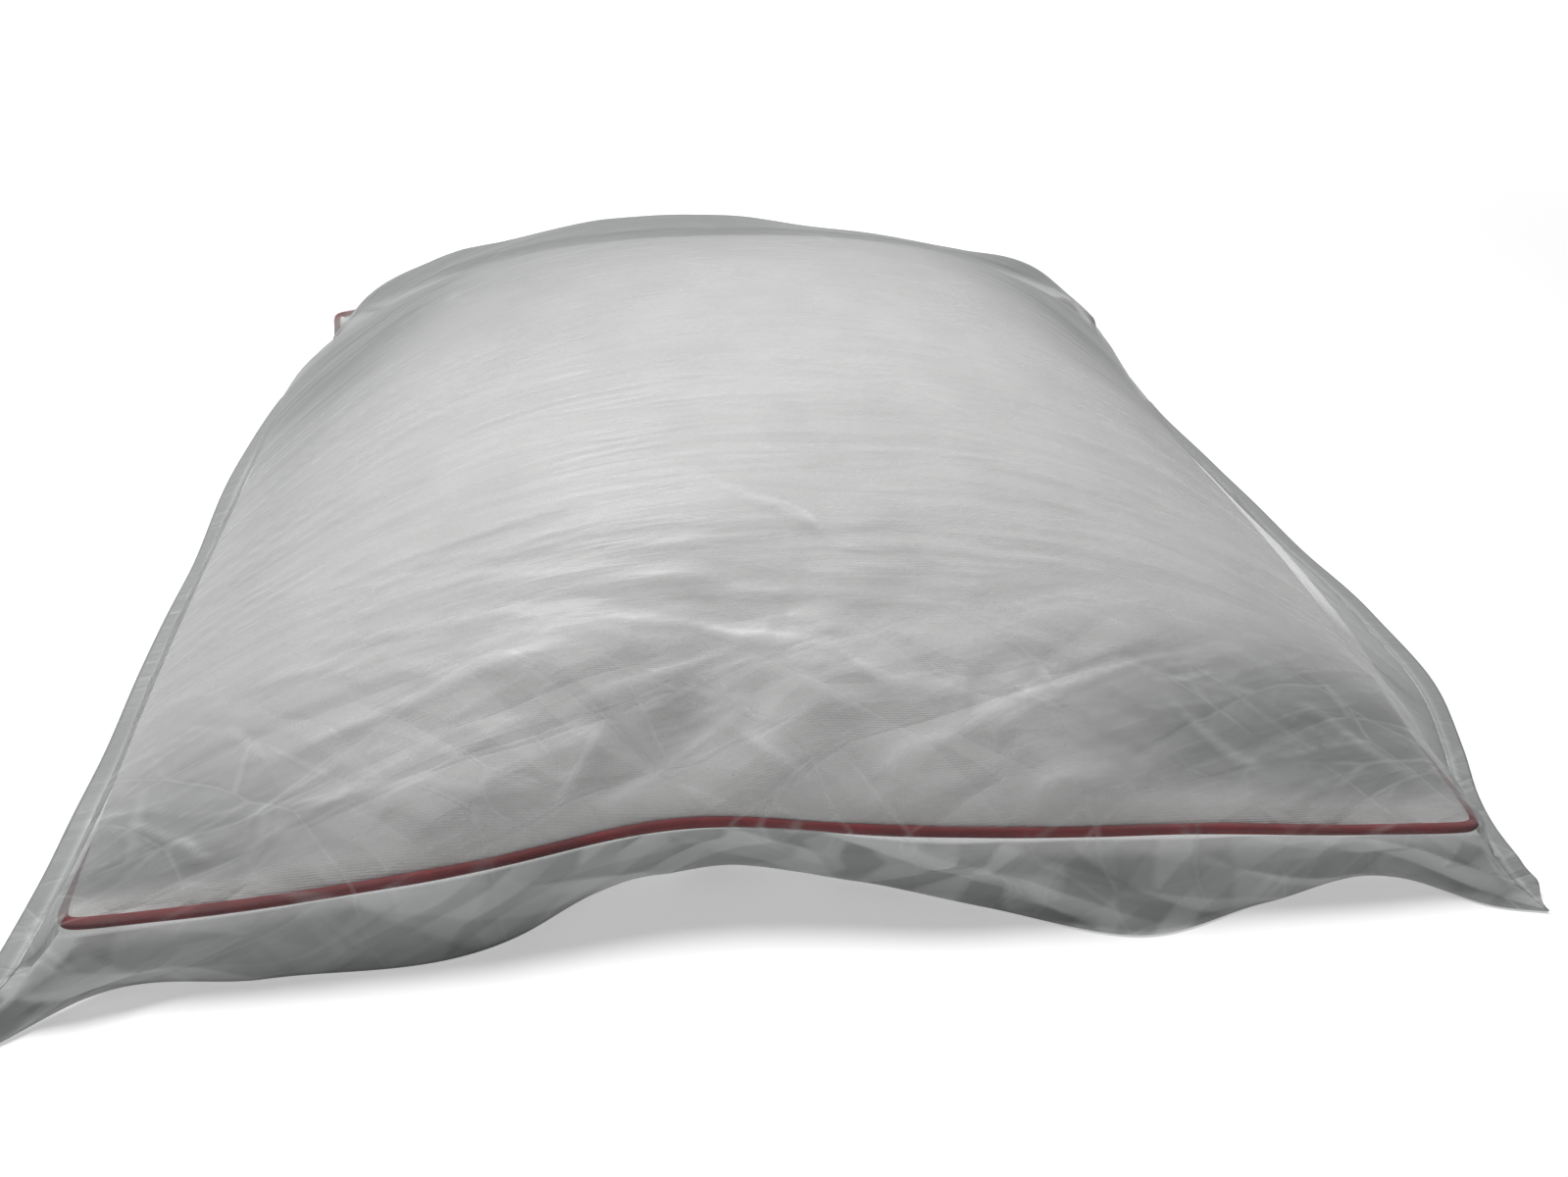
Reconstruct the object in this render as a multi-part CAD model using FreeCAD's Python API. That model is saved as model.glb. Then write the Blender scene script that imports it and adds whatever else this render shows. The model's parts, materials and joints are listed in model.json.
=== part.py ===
import FreeCAD, Part

import math
import os

# A square bed pillow with a corded seam, lying in its clear storage bag.
# The origin is on the floor under the middle of the bag: +X to the right,
# +Y to the back, +Z up.  All lengths are in millimetres.

# ---------------------------------------------------------------- pillow
SEAM_HALF = 320.0        # half the side of the stuffed pillow, piping centre
SEAM_HEIGHT = 40.0       # height of the seam above the floor
CROWN_RISE = 124.0       # middle of the top panel above the seam
SIDE_PULL = 8.0          # each side is drawn in by this much at its middle
CORNER_RADIUS = 16.0     # of the piping around each corner
BLUNT_POWER = 12         # how late along a side that rounding starts
TOP_POWER = 2.5          # how square the crown is, seen from above
TOP_ROUND = 0.74         # how round the edge of the crown is
FLAT_POWER = 6           # how flat the underside lies
FLAT_ROUND = 1.2

# ---------------------------------------------------------------- casing
TICKING = 0.8            # cotton ticking, thick enough to stay a solid
PANEL_INSET = 3.1        # panel edge, inside the middle of the piping
PANEL_BLUNT = 5.0        # cut back at the corners, to follow the piping round
ALLOWANCE = 9.0          # seam allowance turned in behind the edge
ALLOWANCE_GAP = 1.3      # from the seam's plane to each panel's allowance

# ---------------------------------------------------------------- piping
PIPING_RADIUS = 2.6
PIPING_WALL = 0.5
CORD_RADIUS = 2.0
TAIL_LENGTH = 11.0       # flat tail of the bias strip, sewn into the seam
TAIL_THICK = 0.9
THREAD_RADIUS = 0.3
THREAD_CLEAR = 0.12
THREAD_INSET = 7.0       # stitch line, inside the middle of the piping

# ---------------------------------------------------------------- filling
FILL_INSET = 14.0
FILL_EDGE = 2.0          # half the height of the filling's blunt edge
FILL_CLEAR = 2.0

# ---------------------------------------------------------------- closing
CLOSING_LENGTH = 200.0   # gap through which the pillow is stuffed
STITCH_PITCH = 4.0
STITCH_LENGTH = 2.8
CLOSING_INSET = 6.0
STITCH_LIFT = 0.45       # middle of a stitch above the cloth it closes
LABEL_WIDTH = 25.0
LABEL_OUT = 14.0         # how far the label stands out of the seam
LABEL_THICK = 0.4
LABEL_X = -215.0
LABEL_CLEAR = 0.5        # from the piping to the label

# ---------------------------------------------------------------- bag
FILM = 0.3
BAG_HALF_X = 345.0       # inner edge of the side welds
BAG_FRONT = -350.0       # mouth of the bag, flat on the floor
BAG_BACK = 338.0         # inner edge of the weld at the closed end
WELD_SIDE = 17.0
WELD_BACK = 12.0
WELD_HEIGHT = 24.0       # height at which the two films are welded
WELD_LIFT_END = 0.45     # part of the side over which the weld leaves the floor
BAG_CROWN = 171.0
BAG_POWER = 3.8
BAG_ROUND = 0.55
PATCH_HALF_X = 215.0     # flat part that the pillow rests on
PATCH_BACK = 215.0
REST_GAP = 0.5

GRID = 17                # points each way on a fitted surface
EDGE_EASE = 1.35         # crowds the points towards the edges
SEW_TOLERANCE = 0.05

V = FreeCAD.Vector


def eased(count):
    """Values from -1 to 1 that crowd towards both ends."""
    values = []
    for i in range(count):
        s = 2.0 * i / (count - 1) - 1.0
        values.append(math.copysign(1.0 - (1.0 - abs(s)) ** EDGE_EASE, s))
    return values


SPREAD = eased(GRID)


# ------------------------------------------------------------ the forms
def outline(u, v, inset, blunt):
    """Plan of the pillow: sides drawn in, corners rounded off."""
    half = SEAM_HALF - inset
    x = u * (half - SIDE_PULL * (1 - v * v) - blunt * abs(v) ** BLUNT_POWER)
    y = v * (half - SIDE_PULL * (1 - u * u) - blunt * abs(u) ** BLUNT_POWER)
    return x, y


def crown(u, v, power, rounding):
    """One in the middle, falling to nothing at all four edges."""
    rise = (1 - abs(u) ** power) * (1 - abs(v) ** power)
    return max(rise, 0.0) ** rounding


def pillow_top(inset, blunt, base, rise):
    def point(u, v):
        x, y = outline(u, v, inset, blunt)
        return V(x, y, base + rise * crown(u, v, TOP_POWER, TOP_ROUND))
    return point


def pillow_underside(inset, blunt, base, floor):
    def point(u, v):
        x, y = outline(u, v, inset, blunt)
        lift = 1 - (1 - u ** FLAT_POWER) * (1 - v ** FLAT_POWER)
        return V(x, y, floor + (base - floor) * lift ** FLAT_ROUND)
    return point


def smooth_step(t):
    t = min(max(t, 0.0), 1.0)
    return t * t * (3 - 2 * t)


def weld_height(v):
    """The welds lie on the floor at the mouth and rise to their height."""
    return WELD_HEIGHT * smooth_step((v + 1) / (2 * WELD_LIFT_END))


def bag_y(v, drop=0.0):
    """Along the bag, from its mouth at v = -1 to its closed end at v = 1."""
    middle = (BAG_FRONT + BAG_BACK) / 2
    return middle + v * (BAG_BACK - middle - drop)


def bag_cover(drop):
    """The upper film: its outer face, or its inner face a film's thickness in."""
    def point(u, v):
        edge = weld_height(v) + 2 * FILM - drop
        rise = (BAG_CROWN - drop - edge) * crown(u, v, BAG_POWER, BAG_ROUND)
        return V((BAG_HALF_X - drop) * u, bag_y(v, drop), edge + rise)
    return point


# ------------------------------------------------------------ surfaces
def grid_surface(form):
    """A smooth surface through the form's points on the eased grid."""
    rows = [[form(u, v) for v in SPREAD] for u in SPREAD]
    surface = Part.BSplineSurface()
    surface.interpolate(rows)
    return surface


def loop_curves(form, inward=0.0, height=None):
    """Four curves around the edge of a form, set in by inward."""
    curves = []
    for side in range(4):
        points = []
        for w in SPREAD:
            u, v = [(w, -1), (1, w), (-w, 1), (-1, -w)][side]
            p = form(u, v)
            z = p.z if height is None else height
            points.append(V(p.x - u * inward, p.y - v * inward, z))
        curve = Part.BSplineCurve()
        curve.interpolate(points)
        curves.append(curve.toShape())
    return curves


def border(surface):
    """The four edges of a fitted surface, in the order of loop_curves."""
    u0, u1, v0, v1 = surface.bounds()
    front, right = surface.vIso(v0), surface.uIso(u1)
    back, left = surface.vIso(v1), surface.uIso(u0)
    back.reverse()
    left.reverse()
    return [c.toShape() for c in (front, right, back, left)]


def bridge(lower, upper):
    """Ruled strips between two loops of four curves."""
    return [Part.makeRuledSurface(a, b) for a, b in zip(lower, upper)]


def sewn(faces):
    """One solid from faces that close up."""
    skin = Part.makeCompound(faces)
    skin.sewShape(SEW_TOLERANCE)
    solid = Part.makeSolid(Part.Shell(skin.Faces))
    solid.fix(SEW_TOLERANCE, SEW_TOLERANCE, SEW_TOLERANCE)
    if solid.Volume < 0:
        solid.reverse()
    return solid


def thick_sheet(faces, thickness):
    """A solid of the given height over faces that share their edges."""
    sheet = Part.makeCompound(faces)
    sheet.sewShape(SEW_TOLERANCE)
    solids = Part.Shell(sheet.Faces).extrude(V(0, 0, thickness)).Solids
    whole = solids[0]
    for solid in solids[1:]:
        whole = whole.fuse(solid)
    return whole


# ------------------------------------------------------------ the pillow
def casing_panel(form_at, sign):
    """A thin panel whose edge turns in behind the seam as an allowance."""
    near = SEAM_HEIGHT + sign * ALLOWANCE_GAP
    far = near + sign * TICKING
    outer_form = form_at(PANEL_INSET, far, 0.0)
    outer = grid_surface(outer_form)
    inner = grid_surface(form_at(PANEL_INSET + TICKING, far, TICKING))
    loops = [
        border(outer),
        loop_curves(outer_form, 0.0, near),
        loop_curves(outer_form, ALLOWANCE, near),
        loop_curves(outer_form, ALLOWANCE, far),
        border(inner),
    ]
    faces = [outer.toShape(), inner.toShape()]
    for one, following in zip(loops, loops[1:]):
        faces += bridge(one, following)
    return sewn(faces)


def make_casing_top():
    def form_at(inset, base, depth):
        rise = SEAM_HEIGHT + CROWN_RISE - depth - base
        return pillow_top(inset, PANEL_BLUNT, base, rise)
    return casing_panel(form_at, 1)


def make_casing_bottom():
    def form_at(inset, base, depth):
        return pillow_underside(inset, PANEL_BLUNT, base, FILM + REST_GAP + depth)
    return casing_panel(form_at, -1)


def make_filling():
    """One mass of loose polyester fibre."""
    top_base = SEAM_HEIGHT + FILL_EDGE
    rise = CROWN_RISE - FILL_EDGE - TICKING - FILL_CLEAR
    top = grid_surface(pillow_top(FILL_INSET, PANEL_BLUNT, top_base, rise))
    floor = FILM + REST_GAP + TICKING + FILL_CLEAR
    low_base = SEAM_HEIGHT - FILL_EDGE
    under = grid_surface(pillow_underside(FILL_INSET, PANEL_BLUNT, low_base, floor))
    faces = [top.toShape(), under.toShape()]
    faces += bridge(border(under), border(top))
    return sewn(faces)


# ------------------------------------------------------------ the piping
def seam_corner():
    """Where the corner arcs have their centre, and the radius of the sides.

    Each side is one long arc that bows inwards by SIDE_PULL, and each corner
    is a small arc that meets both sides without a kink.
    """
    bow = SEAM_HALF ** 2 / (2 * SIDE_PULL)
    far = SEAM_HALF - SIDE_PULL + bow
    reach = bow + CORNER_RADIUS
    centre = (2 * far - math.sqrt(8 * reach ** 2 - 4 * far ** 2)) / 4
    return centre, bow, far


def seam_path(inset=0.0):
    """The closed line of the seam, or a line parallel to it further in."""
    centre, bow, far = seam_corner()
    corner_middle = centre + (CORNER_RADIUS - inset) * math.sqrt(0.5)
    part_way = (bow + inset) / (bow + CORNER_RADIUS)
    join_x = centre * part_way
    join_y = far + (centre - far) * part_way
    side_middle = far - bow - inset
    edges = []
    for quarter in range(4):
        turn = FreeCAD.Rotation(V(0, 0, 1), 90 * quarter)

        def at(x, y):
            return turn.multVec(V(x, y, SEAM_HEIGHT))
        side = (at(-join_x, -join_y), at(0, -side_middle), at(join_x, -join_y))
        corner = (side[2], at(corner_middle, -corner_middle), at(join_y, -join_x))
        edges.append(Part.Arc(*side).toShape())
        edges.append(Part.Arc(*corner).toShape())
    return Part.Wire(edges)


def carried_round(path, section):
    """Carry a closed section, given by where it starts, around a path."""
    first = path.Edges[0]
    start = first.valueAt(first.FirstParameter)
    ahead = first.tangentAt(first.FirstParameter)
    pipe = Part.BRepOffsetAPI.MakePipeShell(path)
    pipe.setBiNormalMode(V(0, 0, 1))
    pipe.add(section(start, ahead.cross(V(0, 0, 1))))
    pipe.build()
    pipe.makeSolid()
    return pipe.shape()


def round_section(radius):
    def wire(start, outward):
        ahead = outward.cross(V(0, 0, 1))
        return Part.Wire(Part.Circle(start, ahead, radius).toShape())
    return wire


def keyhole_section():
    """The bias strip: round over the cord, with a flat tail inwards."""
    def wire(start, outward):
        def at(out, up):
            return start + outward * out + V(0, 0, up)
        half = TAIL_THICK / 2
        neck = -math.sqrt(PIPING_RADIUS ** 2 - half ** 2)
        above, below = at(neck, half), at(neck, -half)
        tip_above, tip_below = at(-TAIL_LENGTH, half), at(-TAIL_LENGTH, -half)
        edges = [
            Part.Arc(below, at(PIPING_RADIUS, 0), above).toShape(),
            Part.LineSegment(above, tip_above).toShape(),
            Part.LineSegment(tip_above, tip_below).toShape(),
            Part.LineSegment(tip_below, below).toShape(),
        ]
        return Part.Wire(edges)
    return wire


def make_piping_cover():
    path = seam_path()
    strip = carried_round(path, keyhole_section())
    hole = carried_round(path, round_section(PIPING_RADIUS - PIPING_WALL))
    return strip.cut(hole)


def make_piping_cord():
    return carried_round(seam_path(), round_section(CORD_RADIUS))


def make_seam_stitching():
    """Upper and lower thread of the seam, on the two faces of the tail."""
    thread = carried_round(seam_path(THREAD_INSET), round_section(THREAD_RADIUS))
    lift = V(0, 0, TAIL_THICK / 2 + THREAD_CLEAR + THREAD_RADIUS)
    return Part.makeCompound([thread.translated(lift), thread.translated(-lift)])


# ------------------------------------------------------------ back seam
def make_closing_stitches():
    """A straight row along the back edge, over the gap it closes."""
    base = SEAM_HEIGHT + ALLOWANCE_GAP + TICKING
    rise = SEAM_HEIGHT + CROWN_RISE - base
    form = pillow_top(PANEL_INSET, PANEL_BLUNT, base, rise)
    half = SEAM_HALF - PANEL_INSET
    v = 1 - CLOSING_INSET / half
    stitches = []
    for i in range(int(CLOSING_LENGTH / STITCH_PITCH)):
        u = (i * STITCH_PITCH - CLOSING_LENGTH / 2) / half
        place = form(u, v)
        stitch = Part.makeCylinder(THREAD_RADIUS, STITCH_LENGTH, V(0, 0, 0), V(1, 0, 0))
        stitches.append(stitch.translated(place + V(0, THREAD_RADIUS, STITCH_LIFT)))
    return Part.makeCompound(stitches)


def make_care_label():
    """A blank folded tape that stands out of the back seam, above the piping."""
    y = SEAM_HALF - SIDE_PULL * (1 - (LABEL_X / SEAM_HALF) ** 2) + PIPING_RADIUS
    base = V(LABEL_X - LABEL_WIDTH / 2, y + LABEL_CLEAR, SEAM_HEIGHT - LABEL_OUT)
    return Part.makeBox(LABEL_WIDTH, LABEL_THICK, LABEL_OUT, base)


# ------------------------------------------------------------ the bag
def make_bag_top_film():
    outer = grid_surface(bag_cover(0.0))
    inner = grid_surface(bag_cover(FILM))
    faces = [outer.toShape(), inner.toShape()]
    faces += bridge(border(inner), border(outer))
    return sewn(faces)


def weld_line(x):
    """The height of a side weld along the bag, at one x."""
    points = [V(x, bag_y(v), weld_height(v)) for v in SPREAD]
    curve = Part.BSplineCurve()
    curve.interpolate(points)
    return curve.toShape()


def straight(a, b):
    return Part.LineSegment(a, b).toShape()


def make_bag_bottom_film():
    """A flat patch on the floor, with sides that slope up to the welds."""
    front_left = V(-PATCH_HALF_X, BAG_FRONT, 0)
    front_right = V(PATCH_HALF_X, BAG_FRONT, 0)
    back_left = V(-PATCH_HALF_X, PATCH_BACK, 0)
    back_right = V(PATCH_HALF_X, PATCH_BACK, 0)
    patch = Part.Face(Part.makePolygon(
        [front_left, front_right, back_right, back_left, front_left]))
    far_left = V(-BAG_HALF_X, BAG_BACK, WELD_HEIGHT)
    far_right = V(BAG_HALF_X, BAG_BACK, WELD_HEIGHT)
    sides = [
        Part.makeRuledSurface(straight(front_right, back_right), weld_line(BAG_HALF_X)),
        Part.makeRuledSurface(straight(front_left, back_left), weld_line(-BAG_HALF_X)),
        Part.makeRuledSurface(straight(back_left, back_right), straight(far_left, far_right)),
    ]
    return thick_sheet([patch] + sides, FILM)


def make_side_weld(sign):
    inner = weld_line(sign * BAG_HALF_X)
    outer = weld_line(sign * (BAG_HALF_X + WELD_SIDE))
    return thick_sheet([Part.makeRuledSurface(inner, outer)], 2 * FILM)


def make_back_weld():
    corner = V(-BAG_HALF_X, BAG_BACK, WELD_HEIGHT)
    return Part.makeBox(2 * BAG_HALF_X, WELD_BACK, 2 * FILM, corner)


MAKERS = {
    "casing_top": make_casing_top,
    "casing_bottom": make_casing_bottom,
    "filling": make_filling,
    "piping_cover": make_piping_cover,
    "piping_cord": make_piping_cord,
    "seam_stitching": make_seam_stitching,
    "closing_stitches": make_closing_stitches,
    "care_label": make_care_label,
    "bag_top_film": make_bag_top_film,
    "bag_bottom_film": make_bag_bottom_film,
    "bag_weld_left": lambda: make_side_weld(-1),
    "bag_weld_right": lambda: make_side_weld(1),
    "bag_weld_back": make_back_weld,
}


def main():
    os.makedirs("parts", exist_ok=True)
    for name, maker in MAKERS.items():
        shape = maker()
        shape.exportStep("parts/" + name + ".step")
        box = shape.BoundBox
        print(name, shape.ShapeType, "solids", len(shape.Solids), "valid", shape.isValid(),
              "volume", round(shape.Volume / 1000, 2), "cm3",
              "box", [round(n, 1) for n in (box.XMin, box.YMin, box.ZMin,
                                            box.XMax, box.YMax, box.ZMax)])


main()
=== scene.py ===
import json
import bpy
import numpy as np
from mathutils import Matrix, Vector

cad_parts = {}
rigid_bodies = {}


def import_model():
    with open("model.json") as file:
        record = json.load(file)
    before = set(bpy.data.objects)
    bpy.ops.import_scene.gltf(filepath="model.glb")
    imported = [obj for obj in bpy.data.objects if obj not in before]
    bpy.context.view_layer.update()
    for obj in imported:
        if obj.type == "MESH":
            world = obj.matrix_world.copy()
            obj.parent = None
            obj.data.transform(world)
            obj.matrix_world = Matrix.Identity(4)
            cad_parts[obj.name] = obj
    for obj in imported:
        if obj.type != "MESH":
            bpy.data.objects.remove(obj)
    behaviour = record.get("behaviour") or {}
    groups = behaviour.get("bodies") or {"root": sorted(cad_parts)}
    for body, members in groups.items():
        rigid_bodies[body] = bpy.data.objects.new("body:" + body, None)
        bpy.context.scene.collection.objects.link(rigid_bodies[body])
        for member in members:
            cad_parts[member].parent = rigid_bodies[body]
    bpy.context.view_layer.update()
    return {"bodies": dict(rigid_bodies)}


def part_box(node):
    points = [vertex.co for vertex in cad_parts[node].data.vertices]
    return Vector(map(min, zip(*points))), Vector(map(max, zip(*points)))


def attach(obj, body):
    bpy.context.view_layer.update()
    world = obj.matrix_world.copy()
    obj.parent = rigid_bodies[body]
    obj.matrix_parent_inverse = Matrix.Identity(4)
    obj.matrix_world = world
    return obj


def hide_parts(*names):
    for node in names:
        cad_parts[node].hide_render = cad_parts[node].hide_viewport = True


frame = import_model()

# %% [markdown]
# # A piped bed pillow in its clear bag
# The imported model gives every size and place.  This lesson dresses it: a
# stuffed casing, red piping round the seam, and a thin polythene bag that
# drapes over everything.  Each surface is a formula on a grid of points.

PIPE_LOW, PIPE_HIGH = (np.array(corner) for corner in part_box("piping_cover"))
PIPING_R = float(PIPE_HIGH[2] - PIPE_LOW[2]) / 2
SEAM_Z = float(PIPE_HIGH[2] + PIPE_LOW[2]) / 2
CORNER_SLACK = 0.0008            # the rounded corners stop this much short
SEAM_HALF = float(PIPE_HIGH[0]) - PIPING_R + CORNER_SLACK
CROWN_Z = float(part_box("casing_top")[1][2])
REST_Z = float(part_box("casing_bottom")[0][2])
WELD_Z = float(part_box("bag_weld_back")[0][2])
print("seam half %.4f, seam height %.4f, crown %.4f" % (SEAM_HALF, SEAM_Z, CROWN_Z))

# %% [markdown]
# Every piece is a grid of points.  One helper makes it a mesh of quads, and
# writes a UV map and point attributes, so that a pattern can follow the
# surface.

# %% From a grid of points to a mesh
def quads(rows, cols, wrap_rows=False, wrap_cols=False):
    """Corner numbers of every cell of a grid, optionally joined end to end.

    A face points along (next row) x (next column)."""
    row = np.arange(rows if wrap_rows else rows - 1)[:, None]
    col = np.arange(cols if wrap_cols else cols - 1)[None, :]
    here = row * cols + col
    right = row * cols + (col + 1) % cols
    up = ((row + 1) % rows) * cols + col
    both = ((row + 1) % rows) * cols + (col + 1) % cols
    return np.stack([here, up, both, right], -1).reshape(-1, 4)


def new_piece(name, points, faces, uv=None, **attributes):
    """A smooth-shaded mesh object at the origin, from arrays of points and quads."""
    mesh = bpy.data.meshes.new(name)
    mesh.from_pydata(points.reshape(-1, 3), [], faces.tolist())
    mesh.polygons.foreach_set("use_smooth", np.ones(len(faces), bool))
    if uv is not None:
        layer = mesh.uv_layers.new(name="Surface")
        layer.data.foreach_set("uv", uv.reshape(-1, 2)[faces.ravel()].ravel().astype(np.float32))
    for label, values in attributes.items():
        store = mesh.attributes.new(label, "FLOAT", "POINT")
        store.data.foreach_set("value", np.asarray(values, np.float32).ravel())
    mesh.update()
    piece = bpy.data.objects.new(name, mesh)
    bpy.context.scene.collection.objects.link(piece)
    print(name, len(mesh.vertices), "points", len(faces), "faces")
    return piece


BODY = next(iter(frame["bodies"]))


def dress(piece, node, material):
    """Give a piece its material and its body, and hide the node it stands for."""
    piece.data.materials.append(material)
    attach(piece, BODY)
    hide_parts(node)


def thicken(piece, thickness):
    """Make a surface into cloth, tape or film that is this thick, on its inner side."""
    piece.modifiers.new("thickness", "SOLIDIFY").thickness = thickness


def square(count):
    """A square grid of values from 0 to 1, as two arrays."""
    span = np.linspace(0, 1, count)
    return np.meshgrid(span, span, indexing="ij")


def circle(count):
    """Unit vectors all the way round, as rows of cosine and sine."""
    angle = np.linspace(0, 2 * np.pi, count, endpoint=False)
    return np.stack([np.cos(angle), np.sin(angle)], -1)

# %% [markdown]
# Materials are small sums.  A wrapped socket lets them be written as Python.
# Colours go through Mix nodes, because a Math node would turn a colour grey.

# %% Shader sums written as Python
class Value:
    """One socket of a node tree that can be added, multiplied and raised."""

    def __init__(self, recipe, socket):
        self.recipe, self.socket = recipe, socket

    def __add__(self, other):
        return self.recipe.sum("ADD", self, other)

    def __mul__(self, other):
        return self.recipe.sum("MULTIPLY", self, other)

    def __sub__(self, other):
        return self.recipe.sum("SUBTRACT", self, other)

    def __rsub__(self, other):
        return self.recipe.sum("SUBTRACT", other, self)

    __radd__ = __add__
    __rmul__ = __mul__


class Recipe:
    """A material whose nodes are added one call at a time."""

    def __init__(self, name, **fixed):
        self.material = bpy.data.materials.new(name)
        self.material.use_nodes = True
        self.tree = self.material.node_tree
        self.shader = self.tree.nodes["Principled BSDF"]
        for label, setting in fixed.items():
            self.shader.inputs[label.replace("_", " ")].default_value = setting

    def node(self, kind, settings, inputs, output=0):
        node = self.tree.nodes.new("ShaderNode" + kind)
        for label, setting in settings.items():
            setattr(node, label, setting)
        for label, given in inputs.items():
            self.join(node.inputs[label], given)
        return Value(self, node.outputs[output])

    def join(self, socket, given):
        if isinstance(given, Value):
            self.tree.links.new(given.socket, socket)
        else:
            socket.default_value = given

    def place(self, kind="Object"):
        return self.node("TexCoord", {}, {}, kind)

    def part(self, vector, axis):
        return self.node("SeparateXYZ", {}, {0: vector}, axis)

    def vector(self, x, y):
        return self.node("CombineXYZ", {}, {0: x, 1: y})

    def sum(self, operation, first, second):
        return self.node("Math", {"operation": operation}, {0: first, 1: second})

    def stretched(self, place, scale, turn=0.0):
        inputs = {"Vector": place, "Scale": scale, "Rotation": (0, 0, turn)}
        return self.node("Mapping", {}, inputs)

    def noise(self, place, scale, detail=3.0):
        inputs = {"Vector": place, "Scale": scale, "Detail": detail}
        return self.node("TexNoise", {}, inputs)

    def cell_edge(self, place):
        """Distance to the nearest border of random cells: straight sharp valleys."""
        inputs = {"Vector": place, "Scale": 1.0}
        return self.node("TexVoronoi", {"feature": "DISTANCE_TO_EDGE"}, inputs)

    def threads(self, place, scale, axis):
        settings = {"wave_type": "BANDS", "bands_direction": axis}
        inputs = {"Vector": place, "Scale": scale, "Distortion": 0.6, "Detail": 1.0}
        return self.node("TexWave", settings, inputs, "Fac")

    def stored(self, label):
        return self.node("Attribute", {"attribute_name": label}, {}, "Fac")

    def ramp(self, value, low, high):
        """From 0 to 1 as value goes from low to high, smoothly."""
        inputs = {"Value": value, "From Min": low, "From Max": high}
        return self.node("MapRange", {"interpolation_type": "SMOOTHSTEP"}, inputs)

    def tint(self, factor, first, second):
        """A colour between two; each is a plain (r, g, b) or another tint."""
        first, second = (c if isinstance(c, Value) else (*c, 1.0) for c in (first, second))
        inputs = {"Factor": factor, 6: first, 7: second}      # 6 and 7 are its two colours
        return self.node("Mix", {"data_type": "RGBA"}, inputs, 2)

    def finish(self, colour=None, roughness=None, alpha=None, relief=None, depth=0.0005):
        for label, given in (("Base Color", colour), ("Roughness", roughness), ("Alpha", alpha)):
            if given is not None:
                self.join(self.shader.inputs[label], given)
        if relief is not None:
            bump = self.node("Bump", {}, {"Height": relief, "Distance": depth})
            self.join(self.shader.inputs["Normal"], bump)
        return self.material

# %% [markdown]
# ## The stuffed form
# A square cushion is crowned in the middle and falls to nothing at its seam:
# the product of two falling curves, one across, one along.  The stuffing swells
# out over the seam at the left and right.  The bag pulls the front seam up and
# in near its middle, which leaves a hollow above it, with a swollen lip on each
# side.

# %% The pillow's form
SIDE_PULL = 0.008
CORNER_BLUNT = 0.005
SIDE_INSET, SIDE_LOW = 0.006, 0.012
BULGE_LEFT, BULGE_RIGHT = 0.020, 0.012
SEAM_LIFT = 0.004
SEAM_DROOP = 0.014
TOP_POWER, TOP_ROUND = 2.5, 0.74
PULLED_AT, PULLED_WIDE = -0.18, 0.26
PULLED_IN, PULLED_UP = 0.013, 0.006
NOTCH_AT, NOTCH_WIDE, NOTCH_DEEP = 0.10, 0.45, 0.018
EAR_AT, EAR_LONG, EAR_IN = 0.72, 0.20, 0.017
EAR_DEEP, EAR_WIDE = 0.85, 0.20     # the far left corner is pinched flat: its piping stands out
TILT_X, TILT_Y = 0.015, 0.02        # the crown leans a little to the right and the back
SIDE_FALL, CORNER_FALL, END_FALL = 5, 12, 6     # powers: how late each effect sets in
CURL = 1.2                          # power of the underside's curl up to the seam
# Hollows and lips of the front slope, as mounds of height in metres.
DENTS = [
    ((-52, -268), (30, 20), 0.3, -0.010), ((2, -272), (22, 18), 0.0, 0.006),
    ((-110, -245), (40, 20), 0.0, 0.004), ((85, -262), (34, 15), 0.2, -0.006),
    ((118, -302), (24, 10), 0.0, 0.004), ((190, -285), (16, 34), 0.7, -0.005),
    ((222, -262), (14, 40), 0.9, 0.003), ((-215, -262), (50, 12), 0.1, -0.004),
    ((-262, -296), (16, 12), 0.0, 0.004), ((-150, -290), (40, 12), 0.2, 0.003),
    ((-20, -228), (110, 12), 0.0, -0.004), ((30, -240), (14, 10), 0.0, -0.004),
]


def bump(x, y, middle, size, turn=0.0):
    """A smooth mound: 1 at its middle, falling off over the two half widths."""
    c, s = np.cos(turn), np.sin(turn)
    across = (c * (x - middle[0]) + s * (y - middle[1])) / size[0]
    along = (-s * (x - middle[0]) + c * (y - middle[1])) / size[1]
    return np.exp(-across ** 2 - along ** 2)


def mounds(x, y, table):
    """Sum of bumps: rows of middle and half widths in millimetres, turn, height."""
    return sum(high * bump(x, y, *np.array(place) / 1000, turn) for *place, turn, high in table)


def front_pull(u, v):
    """Where the bag draws the front seam in: strongest at the seam itself."""
    return np.exp(-((u - PULLED_AT) / PULLED_WIDE) ** 2) * ((1 - v) / 2) ** SIDE_FALL


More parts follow.
